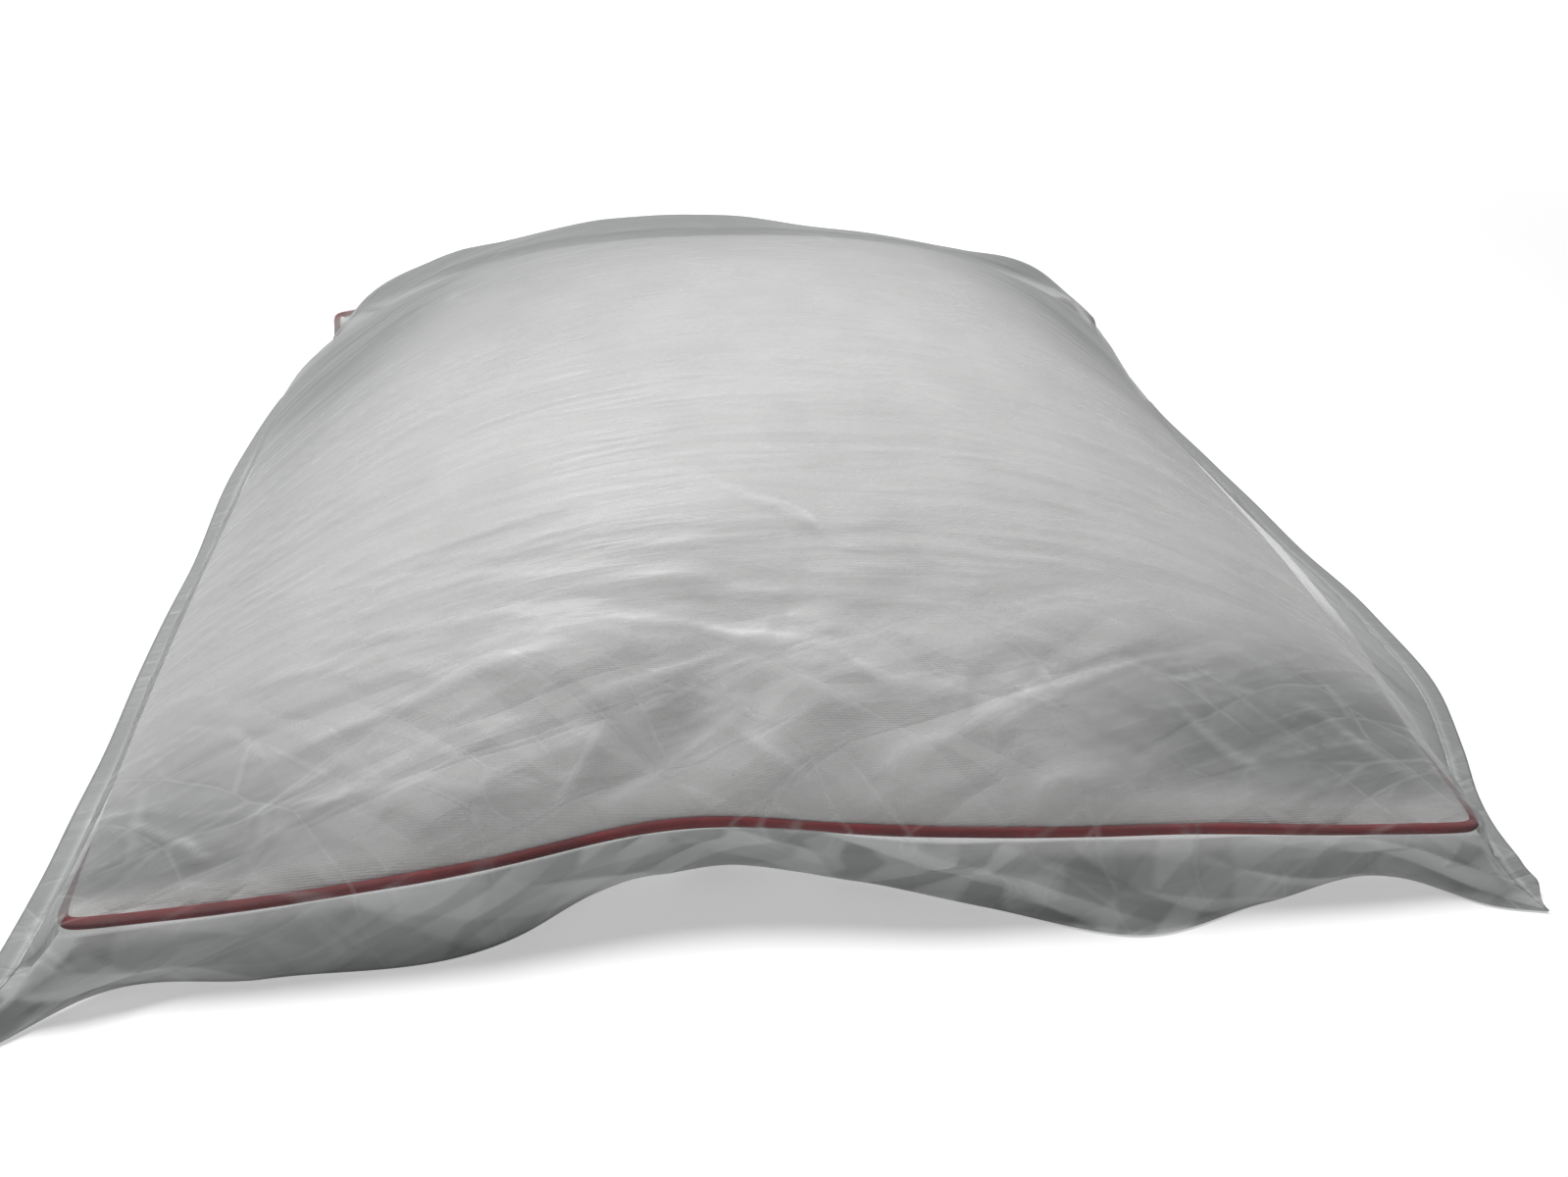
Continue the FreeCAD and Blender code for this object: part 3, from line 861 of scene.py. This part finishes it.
# %% Closing stitches and label
CLOSING_HALF = 0.100
STITCH_LONG, STITCH_PITCH = 0.0030, 0.0040
CLOSING_INSET = 0.006
LABEL_X, LABEL_WIDE, LABEL_DROP, LABEL_THICK = -0.215, 0.025, 0.014, 0.0002
LABEL_OUT, LABEL_GAP, LABEL_SWING, LABEL_WAVE = 0.0012, 0.0006, 0.003, 0.0006
LABEL_ROWS, LABEL_COLUMNS = 25, 9


def make_closing_stitches():
    """Each stitch is a short bow that dives into the cloth at both ends."""
    middles = np.arange(-CLOSING_HALF, CLOSING_HALF, STITCH_PITCH)
    bow = np.linspace(-1, 1, 7)
    u = (middles[:, None] + bow * STITCH_LONG / 2) / SEAM_HALF
    centre = top_form(u, np.full_like(u, 1 - CLOSING_INSET / SEAM_HALF))
    centre[..., 2] += 2.2 * THREAD_R * (1 - bow ** 2)
    ring = THREAD_R * 1.3 * circle(6) @ [[0, 1, 0], [0, 0, -1]]
    faces = quads(len(bow), len(ring), wrap_cols=True)
    starts = np.arange(len(middles)) * len(bow) * len(ring)
    faces = (faces[None] + starts[:, None, None]).reshape(-1, 4)
    piece = new_piece("closing_threads", centre[:, :, None] + ring, faces)
    dress(piece, "closing_stitches", THREAD)


def make_care_label():
    """A tape folded once: out of the seam, down, round the fold and back up."""
    run = np.linspace(-1, 1, LABEL_ROWS)
    across = np.linspace(-0.5, 0.5, LABEL_COLUMNS) * LABEL_WIDE
    seam_y = float(plan(np.array(LABEL_X / SEAM_HALF), np.array(1.0))[1]) + PIPING_R
    depth = 1 - np.abs(run) ** 1.5
    out = LABEL_OUT + LABEL_GAP * np.tanh(6 * run) + LABEL_SWING * depth
    y = seam_y + out[:, None] + LABEL_WAVE * np.cos(across * 160)[None] * depth[:, None]
    z = SEAM_Z - LABEL_DROP * depth[:, None] + 0 * y
    x = LABEL_X + across[None] + 0 * y
    grid = np.stack([x, y, z], -1)
    piece = new_piece("folded_label", grid, quads(LABEL_ROWS, LABEL_COLUMNS))
    tape = fibre_material("label_tape", FIBRE_WHITE, 500.0)
    dress(piece, "care_label", tape)
    thicken(piece, LABEL_THICK)
    return grid


make_closing_stitches()
LABEL = make_care_label()

# %% [markdown]
# ## The filling
# Loose polyester fibre takes the shape of the casing and stays lumpy: it is
# that form drawn in a little all round, with soft noise for the lumps.

# %% Filling
FILL_SHRINK = np.array([0.955, 0.955, 0.93])
FILL_LIFT = np.array([0.0, 0.0, 0.0045])


def make_filling():
    points = POINTS * FILL_SHRINK + FILL_LIFT
    lumps = noise(points[:, 0] / 0.03, points[:, 1] / 0.03, 3)
    points[:, 2] -= 0.001 * (1 + lumps) * ramp(points[:, 2], 0.05, 0.08)
    piece = new_piece("loose_fibre", points, FACES)
    dress(piece, "filling", fibre_material("polyester_fibre", FIBRE_WHITE, 160.0))


make_filling()

# %% [markdown]
# ## The bag
# To know where the film touches, the pillow is read as a height above any plan
# position.  Its points are dropped into a fine grid of cells that keeps the
# highest.

# %% The pillow as a height map
CELL, FIELD, CELLS_WIDE = 0.0015, 0.372, 497
NOWHERE = -0.1                   # height of a cell with nothing in it


def cell_of(value):
    return np.clip(np.rint((value + FIELD) / CELL).astype(int), 0, CELLS_WIDE - 1)


def skyline(*grids):
    """The highest point above every cell, widened by one cell all round."""
    field = np.full((CELLS_WIDE, CELLS_WIDE), NOWHERE)
    for grid in grids:
        np.maximum.at(field, (cell_of(grid[..., 0]), cell_of(grid[..., 1])), grid[..., 2])
    shifts = [np.roll(field, (i, j), (0, 1)) for i in (-1, 0, 1) for j in (-1, 0, 1)]
    return np.max(shifts, axis=0)


def read_map(field, cell, x, y):
    """A map's value at plan positions, blended from the four nearest cells."""
    i = np.clip((x + FIELD) / cell, 0, len(field) - 1.001)
    j = np.clip((y + FIELD) / cell, 0, len(field) - 1.001)
    a, b = i % 1, j % 1
    i, j = i.astype(int), j.astype(int)
    return blended(a, b, field[i, j], field[i + 1, j], field[i, j + 1], field[i + 1, j + 1])


SKY = skyline(finer(TOP_GRID, 4), finer(PIPING, 4), finer(LABEL, 4))
print("cells covered %.3f" % (SKY > 0).mean())

# %% [markdown]
# The bag is one sheet of clear polythene above the pillow and one below, welded
# along the sides and the far end and open in front.  A few points at the sides,
# a shallow bow behind and the line of the piping in front give its outline.

# %% The outline of the bag
def metres(*rows):
    """Rows of millimetres, as an array in metres."""
    return np.array(rows) / 1000


WELD_WIDE = 0.012
# Side edges, inside the welds: (y, x).  The right side flares towards the front.
LEFT_EDGE = metres((-335, -336), (-217, -325), (-60, -321), (76, -324), (160, -317), (235, -304),
                    (300, -312), (345, -320))
RIGHT_EDGE = metres((-330, 328), (-278, 332), (-250, 341), (-215, 349), (-147, 342), (-62, 328),
                     (37, 318), (117, 309), (160, 309.5), (250, 317.5), (345, 319))
BACK_EDGE, BACK_BOW = 0.325, 0.010
FRONT_GAP = 0.0015
FRONT_BLEND, CORNER_BLEND = 0.015, 0.010     # over these the held rim leaves the piping
OVER_PIPING = 0.55               # the film is held this many piping radii above the seam


def front_seam(x):
    """Plan y and height of the front seam beside any x."""
    u = np.clip(x / SEAM_HALF, -1, 1)
    return plan(u, -np.ones_like(u))[1], seam_height(u, -np.ones_like(u))


def edges_at(x, y):
    """Plan position of the film's four edges beside any point: x, x, y, y."""
    front = front_seam(x)[0] - PIPING_R - FRONT_GAP
    back = BACK_EDGE + BACK_BOW * (1 - np.clip(x / SEAM_HALF, -1, 1) ** 2)
    return through(y, LEFT_EDGE), through(y, RIGHT_EDGE), front, back


def edge_height(x, y):
    """Height at which the rim is held: low flaps at the sides, piping in front."""
    flap = WELD_Z * (0.45 + 0.75 * ramp(y, -0.33, -0.10) - 0.5 * ramp(y, 0.20, 0.32))
    seam_y, seam_z = front_seam(x)
    beyond_corner = ramp(np.abs(x), SEAM_HALF - CORNER_BLEND, SEAM_HALF + CORNER_BLEND)
    at_front = (1 - ramp(y - seam_y, 0.0, FRONT_BLEND)) * (1 - beyond_corner)
    return (seam_z + OVER_PIPING * PIPING_R) * at_front + flap * (1 - at_front)


# %% [markdown]
# Pulled over a cushion, thin film does what a soap film does: between the
# places that hold it, every point sits at the mean of its neighbours.  So its
# height is averaged again and again, lifted back wherever it sinks into the
# pillow, and loaded a little where air is trapped.  Each finer map starts from
# the last one.

# %% The film at rest
FILM_CELL = 2 * CELL
FILM_CLEAR = 0.0009
# Load of trapped air, as mounds of curvature per metre.
AIR = [((270, 120), (40, 130), 0.0, 3.0)]
# The ridge of air behind the crown: (x, height).
PILLOW_OF_AIR = metres((-330, 24), (-300, 42), (-275, 69), (-220, 98), (-145, 118), (-100, 127),
    (-33, 133), (4, 132), (73, 122), (128, 115), (193, 102), (260, 86), (292, 62), (330, 30))
AIR_Y, AIR_HALF = 0.250, 0.006
LEVELS = ((8, 500), (4, 300), (2, 160), (1, 80))     # cells to a step, rounds of averaging


def rest_film():
    """Height map of the film over the pillow, held at its outline."""
    span = -FIELD + CELL * np.arange(CELLS_WIDE)
    x, y = np.meshgrid(span[::2], span[::2], indexing="ij")
    left, right, front, back = edges_at(x, y)
    held = (x <= left) | (x >= right) | (y <= front) | (y >= back)
    air_ridge = np.where(np.abs(y - AIR_Y) < AIR_HALF, through(x, PILLOW_OF_AIR), NOWHERE)
    ground = np.where(held, NOWHERE, np.maximum(SKY[::2, ::2] + FILM_CLEAR, air_ridge))
    rim = edge_height(x, y)
    air = mounds(x, y, AIR)
    film = None
    for stride, rounds in LEVELS:
        pick = (slice(None, None, stride), slice(None, None, stride))
        film = np.maximum(ground[pick], rim[pick]) if film is None else finer(film, 2)
        load = (air[pick] * (FILM_CELL * stride) ** 2 / 4)[1:-1, 1:-1]
        for _ in range(rounds):
            mean = (film[:-2, 1:-1] + film[2:, 1:-1] + film[1:-1, :-2] + film[1:-1, 2:]) / 4
            film[1:-1, 1:-1] = mean + load
            film = np.where(held[pick], rim[pick], np.maximum(film, ground[pick]))
    return film


FILM_MAP = rest_film()
print("film crown %.4f" % FILM_MAP.max())

# %% [markdown]
# The film itself is a grid laid over that map, with its rows closer together in
# front.  Wrinkles and creases are raised along its normals, and it is lifted
# clear of the cloth wherever they would sink it.

# %% Laying the film
ACROSS, ALONG, SKIRT = 351, 232, 46      # points across, rows of cover, rows of skirt
FRONT_DENSE = 0.45               # spacing of the rows in front, as a share of the mean


def cells_across(rows):
    """Places from 0 to 1 across the film and along so many rows of it."""
    return np.meshgrid(np.linspace(0, 1, ACROSS), np.linspace(0, 1, rows), indexing="ij")


def cover_plan():
    """Plan of the film from just outside the front piping to the far end."""
    s, t = cells_across(ALONG)
    t = t * (FRONT_DENSE + (1 - FRONT_DENSE) * t)
    x = -SEAM_HALF + 2 * SEAM_HALF * s
    y = -SEAM_HALF + 2 * SEAM_HALF * t
    for _ in range(4):
        left, right, front, back = edges_at(x, y)
        x, y = left + (right - left) * s, front + (back - front) * t
    return x, y


COVER_X, COVER_Y = cover_plan()
COVER_Z = read_map(FILM_MAP, FILM_CELL, COVER_X, COVER_Y)
COVER_Z[:, 0] = edge_height(COVER_X[:, 0], COVER_Y[:, 0])
COVER_Z[[0, -1]] = edge_height(COVER_X[[0, -1]], COVER_Y[[0, -1]])
placed, SHINE = placed_creases(COVER_X, COVER_Y)
COVER_FOLDS = placed + wrinkles(COVER_X, COVER_Y)
print("wrinkles up to %.2f mm" % COVER_FOLDS.max())

# %% [markdown]
# ## The skirt in front
# Past the front piping the film hangs to the floor and spreads out there in
# lobes; in the middle it is tucked back under the pillow.  It is a ruled
# surface between the piping and the mouth on the floor, broken into facets by
# large sharp folds.

# %% The skirt
# Where the mouth of the bag lies on the floor: (x, y).
MOUTH = metres((-380, -372), (-340, -352), (-308, -330), (-237, -327), (-131, -314), (-100, -294),
    (-51, -280), (21, -296), (78, -317), (149, -340), (212, -327), (285, -319), (317, -338),
    (345, -345))
MOUTH_LEFT, MOUTH_RIGHT = -0.378, 0.343
FILM_FLOOR = 0.0008
SKIRT_CLEAR, COVER_CLEAR = 0.0025, 0.0004    # least gap to the underside, and over the cloth
CALM_ROWS = 12                   # the film lies smooth over the piping
RIM_ROWS = 8                     # and at its welds


def mouth_at(s):
    """The mouth of the bag, from its left end (s = 0) to its right (s = 1)."""
    x = MOUTH_LEFT + (MOUTH_RIGHT - MOUTH_LEFT) * s
    return x, through(x, MOUTH)


def skirt(s, w):
    """From the mouth on the floor (w = 0) up to the first row of the cover."""
    floor_x, floor_y = mouth_at(s)
    floor_x = floor_x + (COVER_X[:, :1] - floor_x) * ramp(w, 0.0, 1.0) * 0.5
    x = floor_x + (COVER_X[:, :1] - floor_x) * w
    y = floor_y + (COVER_Y[:, :1] - floor_y) * w ** 0.85
    z = FILM_FLOOR + (COVER_Z[:, :1] - FILM_FLOOR) * w ** 1.25
    return np.stack([x, y, z], -1)


SKIRT_S, SKIRT_W = (grid[:, :-1] for grid in cells_across(SKIRT + 1))
SKIRT_FACETS = (faceted(13 * SKIRT_S + 1.1 * SKIRT_W, 1.7 * SKIRT_W, 21)
                + 0.35 * faceted(34 * SKIRT_S - 2.5 * SKIRT_W, 2.6 * SKIRT_W + 5, 22))
SKIRT_FOLDS = 5.0 * SKIRT_FACETS * np.sin(np.pi * SKIRT_W) ** 0.7
SHEET = np.concatenate([skirt(SKIRT_S, SKIRT_W), np.stack([COVER_X, COVER_Y, COVER_Z], -1)], 1)
COVER_FOLDS = COVER_FOLDS * ramp(np.arange(ALONG), 0, CALM_ROWS)
FOLDS = np.concatenate([SKIRT_FOLDS, COVER_FOLDS], 1)


def underside_front(x, z):
    """Foremost y of the underside at an x and a height: under_form inverted."""
    u = np.clip(x / SEAM_HALF, -0.97, 0.97)
    lift = np.clip((z - REST_Z) / (seam_height(u, -np.ones_like(u)) - REST_Z), 0, 1)
    v = np.clip(1 - (1 - lift ** (1 / CURL)) / (1 - u ** END_FALL), 0, 1) ** (1 / END_FALL)
    return plan(u, -v)[1]


FILM = raised(SHEET, 0.001 * FOLDS * edge_fade(ACROSS, RIM_ROWS)[:, None])
over = read_map(SKY, CELL, FILM[..., 0], FILM[..., 1])
in_front_of = underside_front(FILM[:, :SKIRT, 0], FILM[:, :SKIRT, 2]) - SKIRT_CLEAR
FILM[:, :SKIRT, 1] = np.minimum(FILM[:, :SKIRT, 1], in_front_of)
IS_COVER = (np.arange(FILM.shape[1]) >= SKIRT)[None] & (over > 0)
FILM[..., 2] = np.maximum(FILM[..., 2], np.where(IS_COVER, over + COVER_CLEAR, FILM_FLOOR))

# %% [markdown]
# ## Film
# Clear polythene is hardly seen where it lies on the cloth.  It shows as bright
# lines where it is doubled in a crease, drawn as painted highlight, and as a grey
# haze where it stands off.  Three stored numbers say this: how loose the film is,
# how strong the painted crease highlight is, and a painted shade by how far a facet leans.

# %% Haze of the film
EAR_SHOWS = (-0.315, 0.315), (0.026, 0.024)     # here the pinched corner presses on the film
CLEAR = -0.28                    # looseness of film pressed hard on the piping: quite clear
MOST_STOOD_OFF = 0.85
# Where the film stands a little off the cloth, as mounds of looseness.
STOOD_OFF = [
    ((265, -280), (85, 50), 0.0, 0.62), ((-290, -300), (90, 50), 0.0, 0.50),
    ((160, -285), (60, 30), 0.0, 0.34), ((-60, -275), (30, 16), 0.3, 0.20),
    ((0, 290), (340, 200), 0.0, 0.66), ((265, 70), (90, 170), 0.1, 0.56),
    ((-280, 150), (80, 150), 0.0, 0.75), ((-280, -130), (60, 160), 0.0, 0.22),
    ((-240, 335), (100, 22), 0.0, 0.8), ((250, 335), (100, 22), 0.0, 0.8),
    ((312, 20), (14, 200), 0.0, 0.7), ((-150, 50), (100, 150), 0.0, 0.16),
]


def film_haze():
    """Looseness, painted crease highlight (partly doubled film) and painted facet shade, for
    every point of the film.
    """
    rows = np.arange(ALONG)
    far = np.maximum(ramp(np.abs(COVER_X), 0.265, 0.295), ramp(COVER_Y, 0.05, 0.20))
    gap = (SHEET[:, SKIRT:, 2] - over[:, SKIRT:]) / (0.022 - 0.014 * far)
    haze = 0.45 * ramp(np.abs(COVER_X), 0.21, 0.31) * ramp(COVER_Y, -0.16, 0.12)
    stood_off = np.minimum(mounds(COVER_X, COVER_Y, STOOD_OFF), MOST_STOOD_OFF)
    gap = np.maximum(ramp(gap, 0.2, 1.0), np.maximum(haze, stood_off))
    over_seam = np.abs(COVER_X) < SEAM_HALF - 0.008
    over_red = CLEAR * (1 - ramp(rows, 4, 8)) * over_seam
    gap = gap * np.where(over_seam, ramp(rows, 5, CALM_ROWS), 1) + over_red
    gap = gap + (CLEAR - gap) * bump(COVER_X, COVER_Y, *EAR_SHOWS)
    tucked = bump(COVER_X[:, :1], 0.0, (-0.050, 0.0), (0.110, 1.0))
    hung = 1.25 - 0.25 * (1 - tucked) - 0.40 * ramp(SKIRT_W, 0.72, 0.92) * (1 - tucked)
    hung = hung + (CLEAR - hung) * ramp(SKIRT_W, 0.945, 0.97) * over_seam[:, :1]
    loose = np.concatenate([hung, gap], 1)
    # Painted highlight, partly the doubled film: the crests of folds and the placed creases make
    # the film whiter and less clear.
    bend = np.clip((FOLDS - blurred(FOLDS, 1)) / 0.22, 0, 1)
    creased = (0.25 * bend[:, SKIRT:] + 0.45 * SHINE) * ramp(rows, 4, CALM_ROWS)
    creased = np.concatenate([0.5 * bend[:, :SKIRT], creased], 1)
    # Painted shade: each skirt facet is drawn lighter or darker grey by how far it leans, in
    # place of shading from the lamp; the cover stays neutral.
    lean = np.clip(0.5 + 12 * np.gradient(SKIRT_FACETS, axis=0), 0, 1)
    facet = np.concatenate([lean, 0 * COVER_Z + 0.5], 1)
    return loose, np.clip(creased, 0, 1), facet


LOOSE, DOUBLING_AND_SHEEN, FACET_SHADE = film_haze()


def film_material(name, thin, thick):
    recipe = Recipe(name, Roughness=0.40, IOR=1.5, Specular_IOR_Level=0.5)
    place = recipe.place()
    loose, creased, facet = (recipe.stored(label) for label in ("loose", "creased", "facet"))
    streaks, crumple, hair_highlight = pull_pattern(recipe, place)
    # Painted highlight: the brightest pull streaks and the hair lines are drawn whiter.
    painted_highlight = recipe.ramp(streaks, 0.60, 0.78) + 1.1 * hair_highlight
    cloud = recipe.noise(place, 11.0, 3.0)
    shine = (creased + 0.22 * painted_highlight) * (1 - 0.6 * loose)
    alpha = thin + loose * (thick - thin) + 0.45 * shine + 0.05 * cloud
    # Painted shade: the grey of loose film is lighter or darker by the stored facet lean.
    grey = recipe.tint(facet, (0.20, 0.21, 0.205), (0.41, 0.42, 0.42))
    hazy = recipe.tint(1.7 * loose, (0.70, 0.71, 0.705), grey)
    # Where shine is high the colour goes to near white: painted highlight, partly the doubled
    # film.
    colour = recipe.tint(shine, hazy, (0.90, 0.91, 0.91))
    relief = 0.8 * streaks + 3.2 * crumple + 0.3 * cloud
    return recipe.finish(colour=colour, alpha=alpha, relief=relief, depth=0.0011)


COVER_FILM = film_material("polythene", 0.20, 0.86)


def make_top_film():
    uv = np.stack(cells_across(FILM.shape[1]), -1)
    piece = new_piece("film_over", FILM, quads(*FILM.shape[:2]), uv,
                      loose=LOOSE, creased=DOUBLING_AND_SHEEN, facet=FACET_SHADE)
    dress(piece, "bag_top_film", COVER_FILM)


make_top_film()

# %% [markdown]
# The lower film lies flat on the floor under the pillow and curls up to the
# welds at the sides, always below the casing.

# %% Lower film
UNDER_STEPS = 161
MOUTH_BACK = 0.003               # its mouth lies this far behind the upper one
UNDER_DROP, UNDER_Z, UNDER_RIPPLE = 0.0006, 0.0003, 0.0004


def make_bottom_film():
    s, t = square(UNDER_STEPS)
    flat_y = mouth_at(s)[1] + MOUTH_BACK
    y = flat_y + (BACK_EDGE + BACK_BOW * (1 - (2 * s - 1) ** 2) - flat_y) * t
    spread = 1 - ramp(t, 0.0, 0.12)
    left, right = through(y, LEFT_EDGE), through(y, RIGHT_EDGE)
    left = left + (MOUTH_LEFT - left) * spread
    right = right + (MOUTH_RIGHT - right) * spread
    x = left + (right - left) * s
    rim = edge_height(1.1 * np.sign(x) * SEAM_HALF, y) - UNDER_DROP
    side = np.maximum(ramp(np.abs(x), 0.235, 0.325), ramp(y, 0.235, 0.325))
    ripple = UNDER_RIPPLE * ridges(x / 0.05, y / 0.015, 41) * (1 - side)
    z = UNDER_Z + np.maximum(rim * side * (1 - spread), 0) + ripple
    loose = ramp(np.maximum(np.abs(x), np.abs(y)), SEAM_HALF - 0.03, SEAM_HALF)
    piece = new_piece("film_under", np.stack([x, y, z], -1), quads(UNDER_STEPS, UNDER_STEPS),
                      loose=loose, creased=0 * loose, facet=0 * loose + 0.5)
    dress(piece, "bag_bottom_film", film_material("polythene_under", 0.10, 0.35))


make_bottom_film()

# %% [markdown]
# Heat has pressed the two films into one along the welds: flat strips, a little
# wavy, with a painted sheen (whiter, less clear film) along the line of the sealing bar.

# %% Welded edges
HANG_RIGHT, HANG_LEFT = 0.125, 0.190       # behind this each side weld hangs down, tucked in
WELD_LOW, WELD_THICK, WELD_RIPPLE = 0.0006, 0.0001, 0.0012
BAR_AT, BAR_HALF = 0.25, 0.12    # the line of the sealing bar, as shares of the width


def make_weld(name, node, line, outwards, width):
    """A strip from a line of edge points, rippled lengthwise."""
    across = np.linspace(0, 1, 9)
    ripple = WELD_RIPPLE * noise(np.arange(len(line)) * 0.05, np.zeros(len(line)), 51)
    grid = line[:, None] + outwards[:, None] * (across * width[:, None])[..., None]
    grid[..., 2] += ripple[:, None] * across
    grid[..., 2] = np.maximum(grid[..., 2], WELD_LOW)
    ones = np.ones(grid.shape[:2])
    # Painted sheen along the sealing bar: the film is drawn whiter and less clear there; its
    # facet shade is a fixed light grey.
    bar_sheen = ones * np.exp(-((across - BAR_AT) / BAR_HALF) ** 2)
    piece = new_piece(name, grid, quads(*grid.shape[:2]),
                      loose=1 - bump(grid[..., 0], grid[..., 1], *EAR_SHOWS),
                      creased=0.5 * bar_sheen, facet=0.7 * ones)
    dress(piece, node, COVER_FILM)
    thicken(piece, WELD_THICK)


def make_side_weld(name, node, edge, width, sign, hang_from):
    """Outwards from a side edge, turning down to hang behind hang_from."""
    hang = ramp(edge[:, 1], hang_from, hang_from + 0.03)
    way = np.stack([sign * (1 - 0.95 * hang), 0 * hang, -0.05 - 0.9 * hang], -1)
    make_weld(name, node, edge, way, width)


SIDE_WIDTH = WELD_WIDE * ramp(np.arange(FILM.shape[1]), 0, 0.6 * SKIRT)
make_side_weld("weld_right", "bag_weld_right", FILM[-1], SIDE_WIDTH, 1, HANG_RIGHT)
make_side_weld("weld_left", "bag_weld_left", FILM[0, ::-1], SIDE_WIDTH[::-1], -1, HANG_LEFT)
make_weld("weld_back", "bag_weld_back", FILM[::-1, -1], np.tile([0.0, 1.0, -0.05], (ACROSS, 1)),
          np.full(ACROSS, WELD_WIDE))

# %% [markdown]
# ## The set
# A white floor that glows a little, more so far away, one large soft lamp above
# and behind, and the camera: close and low over the front edge, turned a little to
# the right, so the front seam looks long and the far one short.

# %% Floor, lamp and camera
FLOOR_HALF, FLOOR_TILES, FLOOR_DROP = 6, 13, 0.0002
GLOW_FROM, GLOW_TO = 0.9, 2.4    # over this distance the floor grows brighter
KEY_AT, KEY_TOWARDS = (-0.45, 0.70, 2.30), (0.0, 0.0, 0.05)
KEY_SIZE, KEY_POWER = 0.9, 62.0
SKY_STRENGTH = 0.15


def make_floor():
    x, y = (FLOOR_HALF * (2 * side - 1) for side in square(FLOOR_TILES))
    points = np.stack([x, y, 0 * x - FLOOR_DROP], -1)
    floor = new_piece("floor", points, quads(FLOOR_TILES, FLOOR_TILES))
    recipe = Recipe("pale_floor", Roughness=0.9, Specular_IOR_Level=0.1)
    x, y = (recipe.part(recipe.place(), axis) for axis in "XY")
    away = recipe.sum("POWER", x * x + y * y, 0.5)
    glow = recipe.ramp(away, GLOW_FROM, GLOW_TO)
    glow = recipe.tint(glow, (0.38, 0.38, 0.38), (0.85, 0.85, 0.85))
    recipe.join(recipe.shader.inputs["Emission Color"], glow)
    recipe.shader.inputs["Emission Strength"].default_value = 1.0
    floor.data.materials.append(recipe.finish(colour=(0.72, 0.72, 0.72, 1)))


def aim(data, at, ahead, roll):
    """Put a lamp or camera at a point, looking along ahead, rolled about that line."""
    ahead = ahead / np.linalg.norm(ahead)
    right = np.cross(ahead, [0, 0, 1])
    right = right / np.linalg.norm(right)
    up = np.cross(right, ahead)
    axes = np.eye(4)
    axes[:3, 0] = np.cos(roll) * right + np.sin(roll) * up
    axes[:3, 1] = np.cos(roll) * up - np.sin(roll) * right
    axes[:3, 2] = -ahead
    axes[:3, 3] = at
    holder = bpy.data.objects.new(data.name, data)
    bpy.context.scene.collection.objects.link(holder)
    holder.matrix_world = Matrix(axes.tolist())
    return holder


def make_lamp():
    lamp = bpy.data.lights.new("key", "AREA")
    lamp.shape, lamp.size, lamp.energy = "DISK", KEY_SIZE, KEY_POWER
    aim(lamp, KEY_AT, np.subtract(KEY_TOWARDS, KEY_AT), 0.0)


CAMERA_AT = (-0.0699, -0.6731, 0.4417)
CAMERA_YAW, CAMERA_PITCH, CAMERA_ROLL = np.radians([8.05, 35.43, 2.21])
CAMERA_LENS, SENSOR = 27.9, 36.0


def make_camera():
    camera = bpy.data.cameras.new("camera")
    camera.lens, camera.sensor_width, camera.sensor_fit = CAMERA_LENS, SENSOR, "HORIZONTAL"
    camera.clip_start = 0.02
    ahead = np.array([np.sin(CAMERA_YAW) * np.cos(CAMERA_PITCH),
                      np.cos(CAMERA_YAW) * np.cos(CAMERA_PITCH), -np.sin(CAMERA_PITCH)])
    bpy.context.scene.camera = aim(camera, CAMERA_AT, ahead, CAMERA_ROLL)


make_floor()
make_lamp()
make_camera()
world = bpy.data.worlds.new("studio")
world.use_nodes = True
backdrop = world.node_tree.nodes["Background"].inputs
backdrop["Color"].default_value, backdrop["Strength"].default_value = (1, 1, 1, 1), SKY_STRENGTH
bpy.context.scene.world = world
bpy.context.scene.view_settings.view_transform = "Standard"
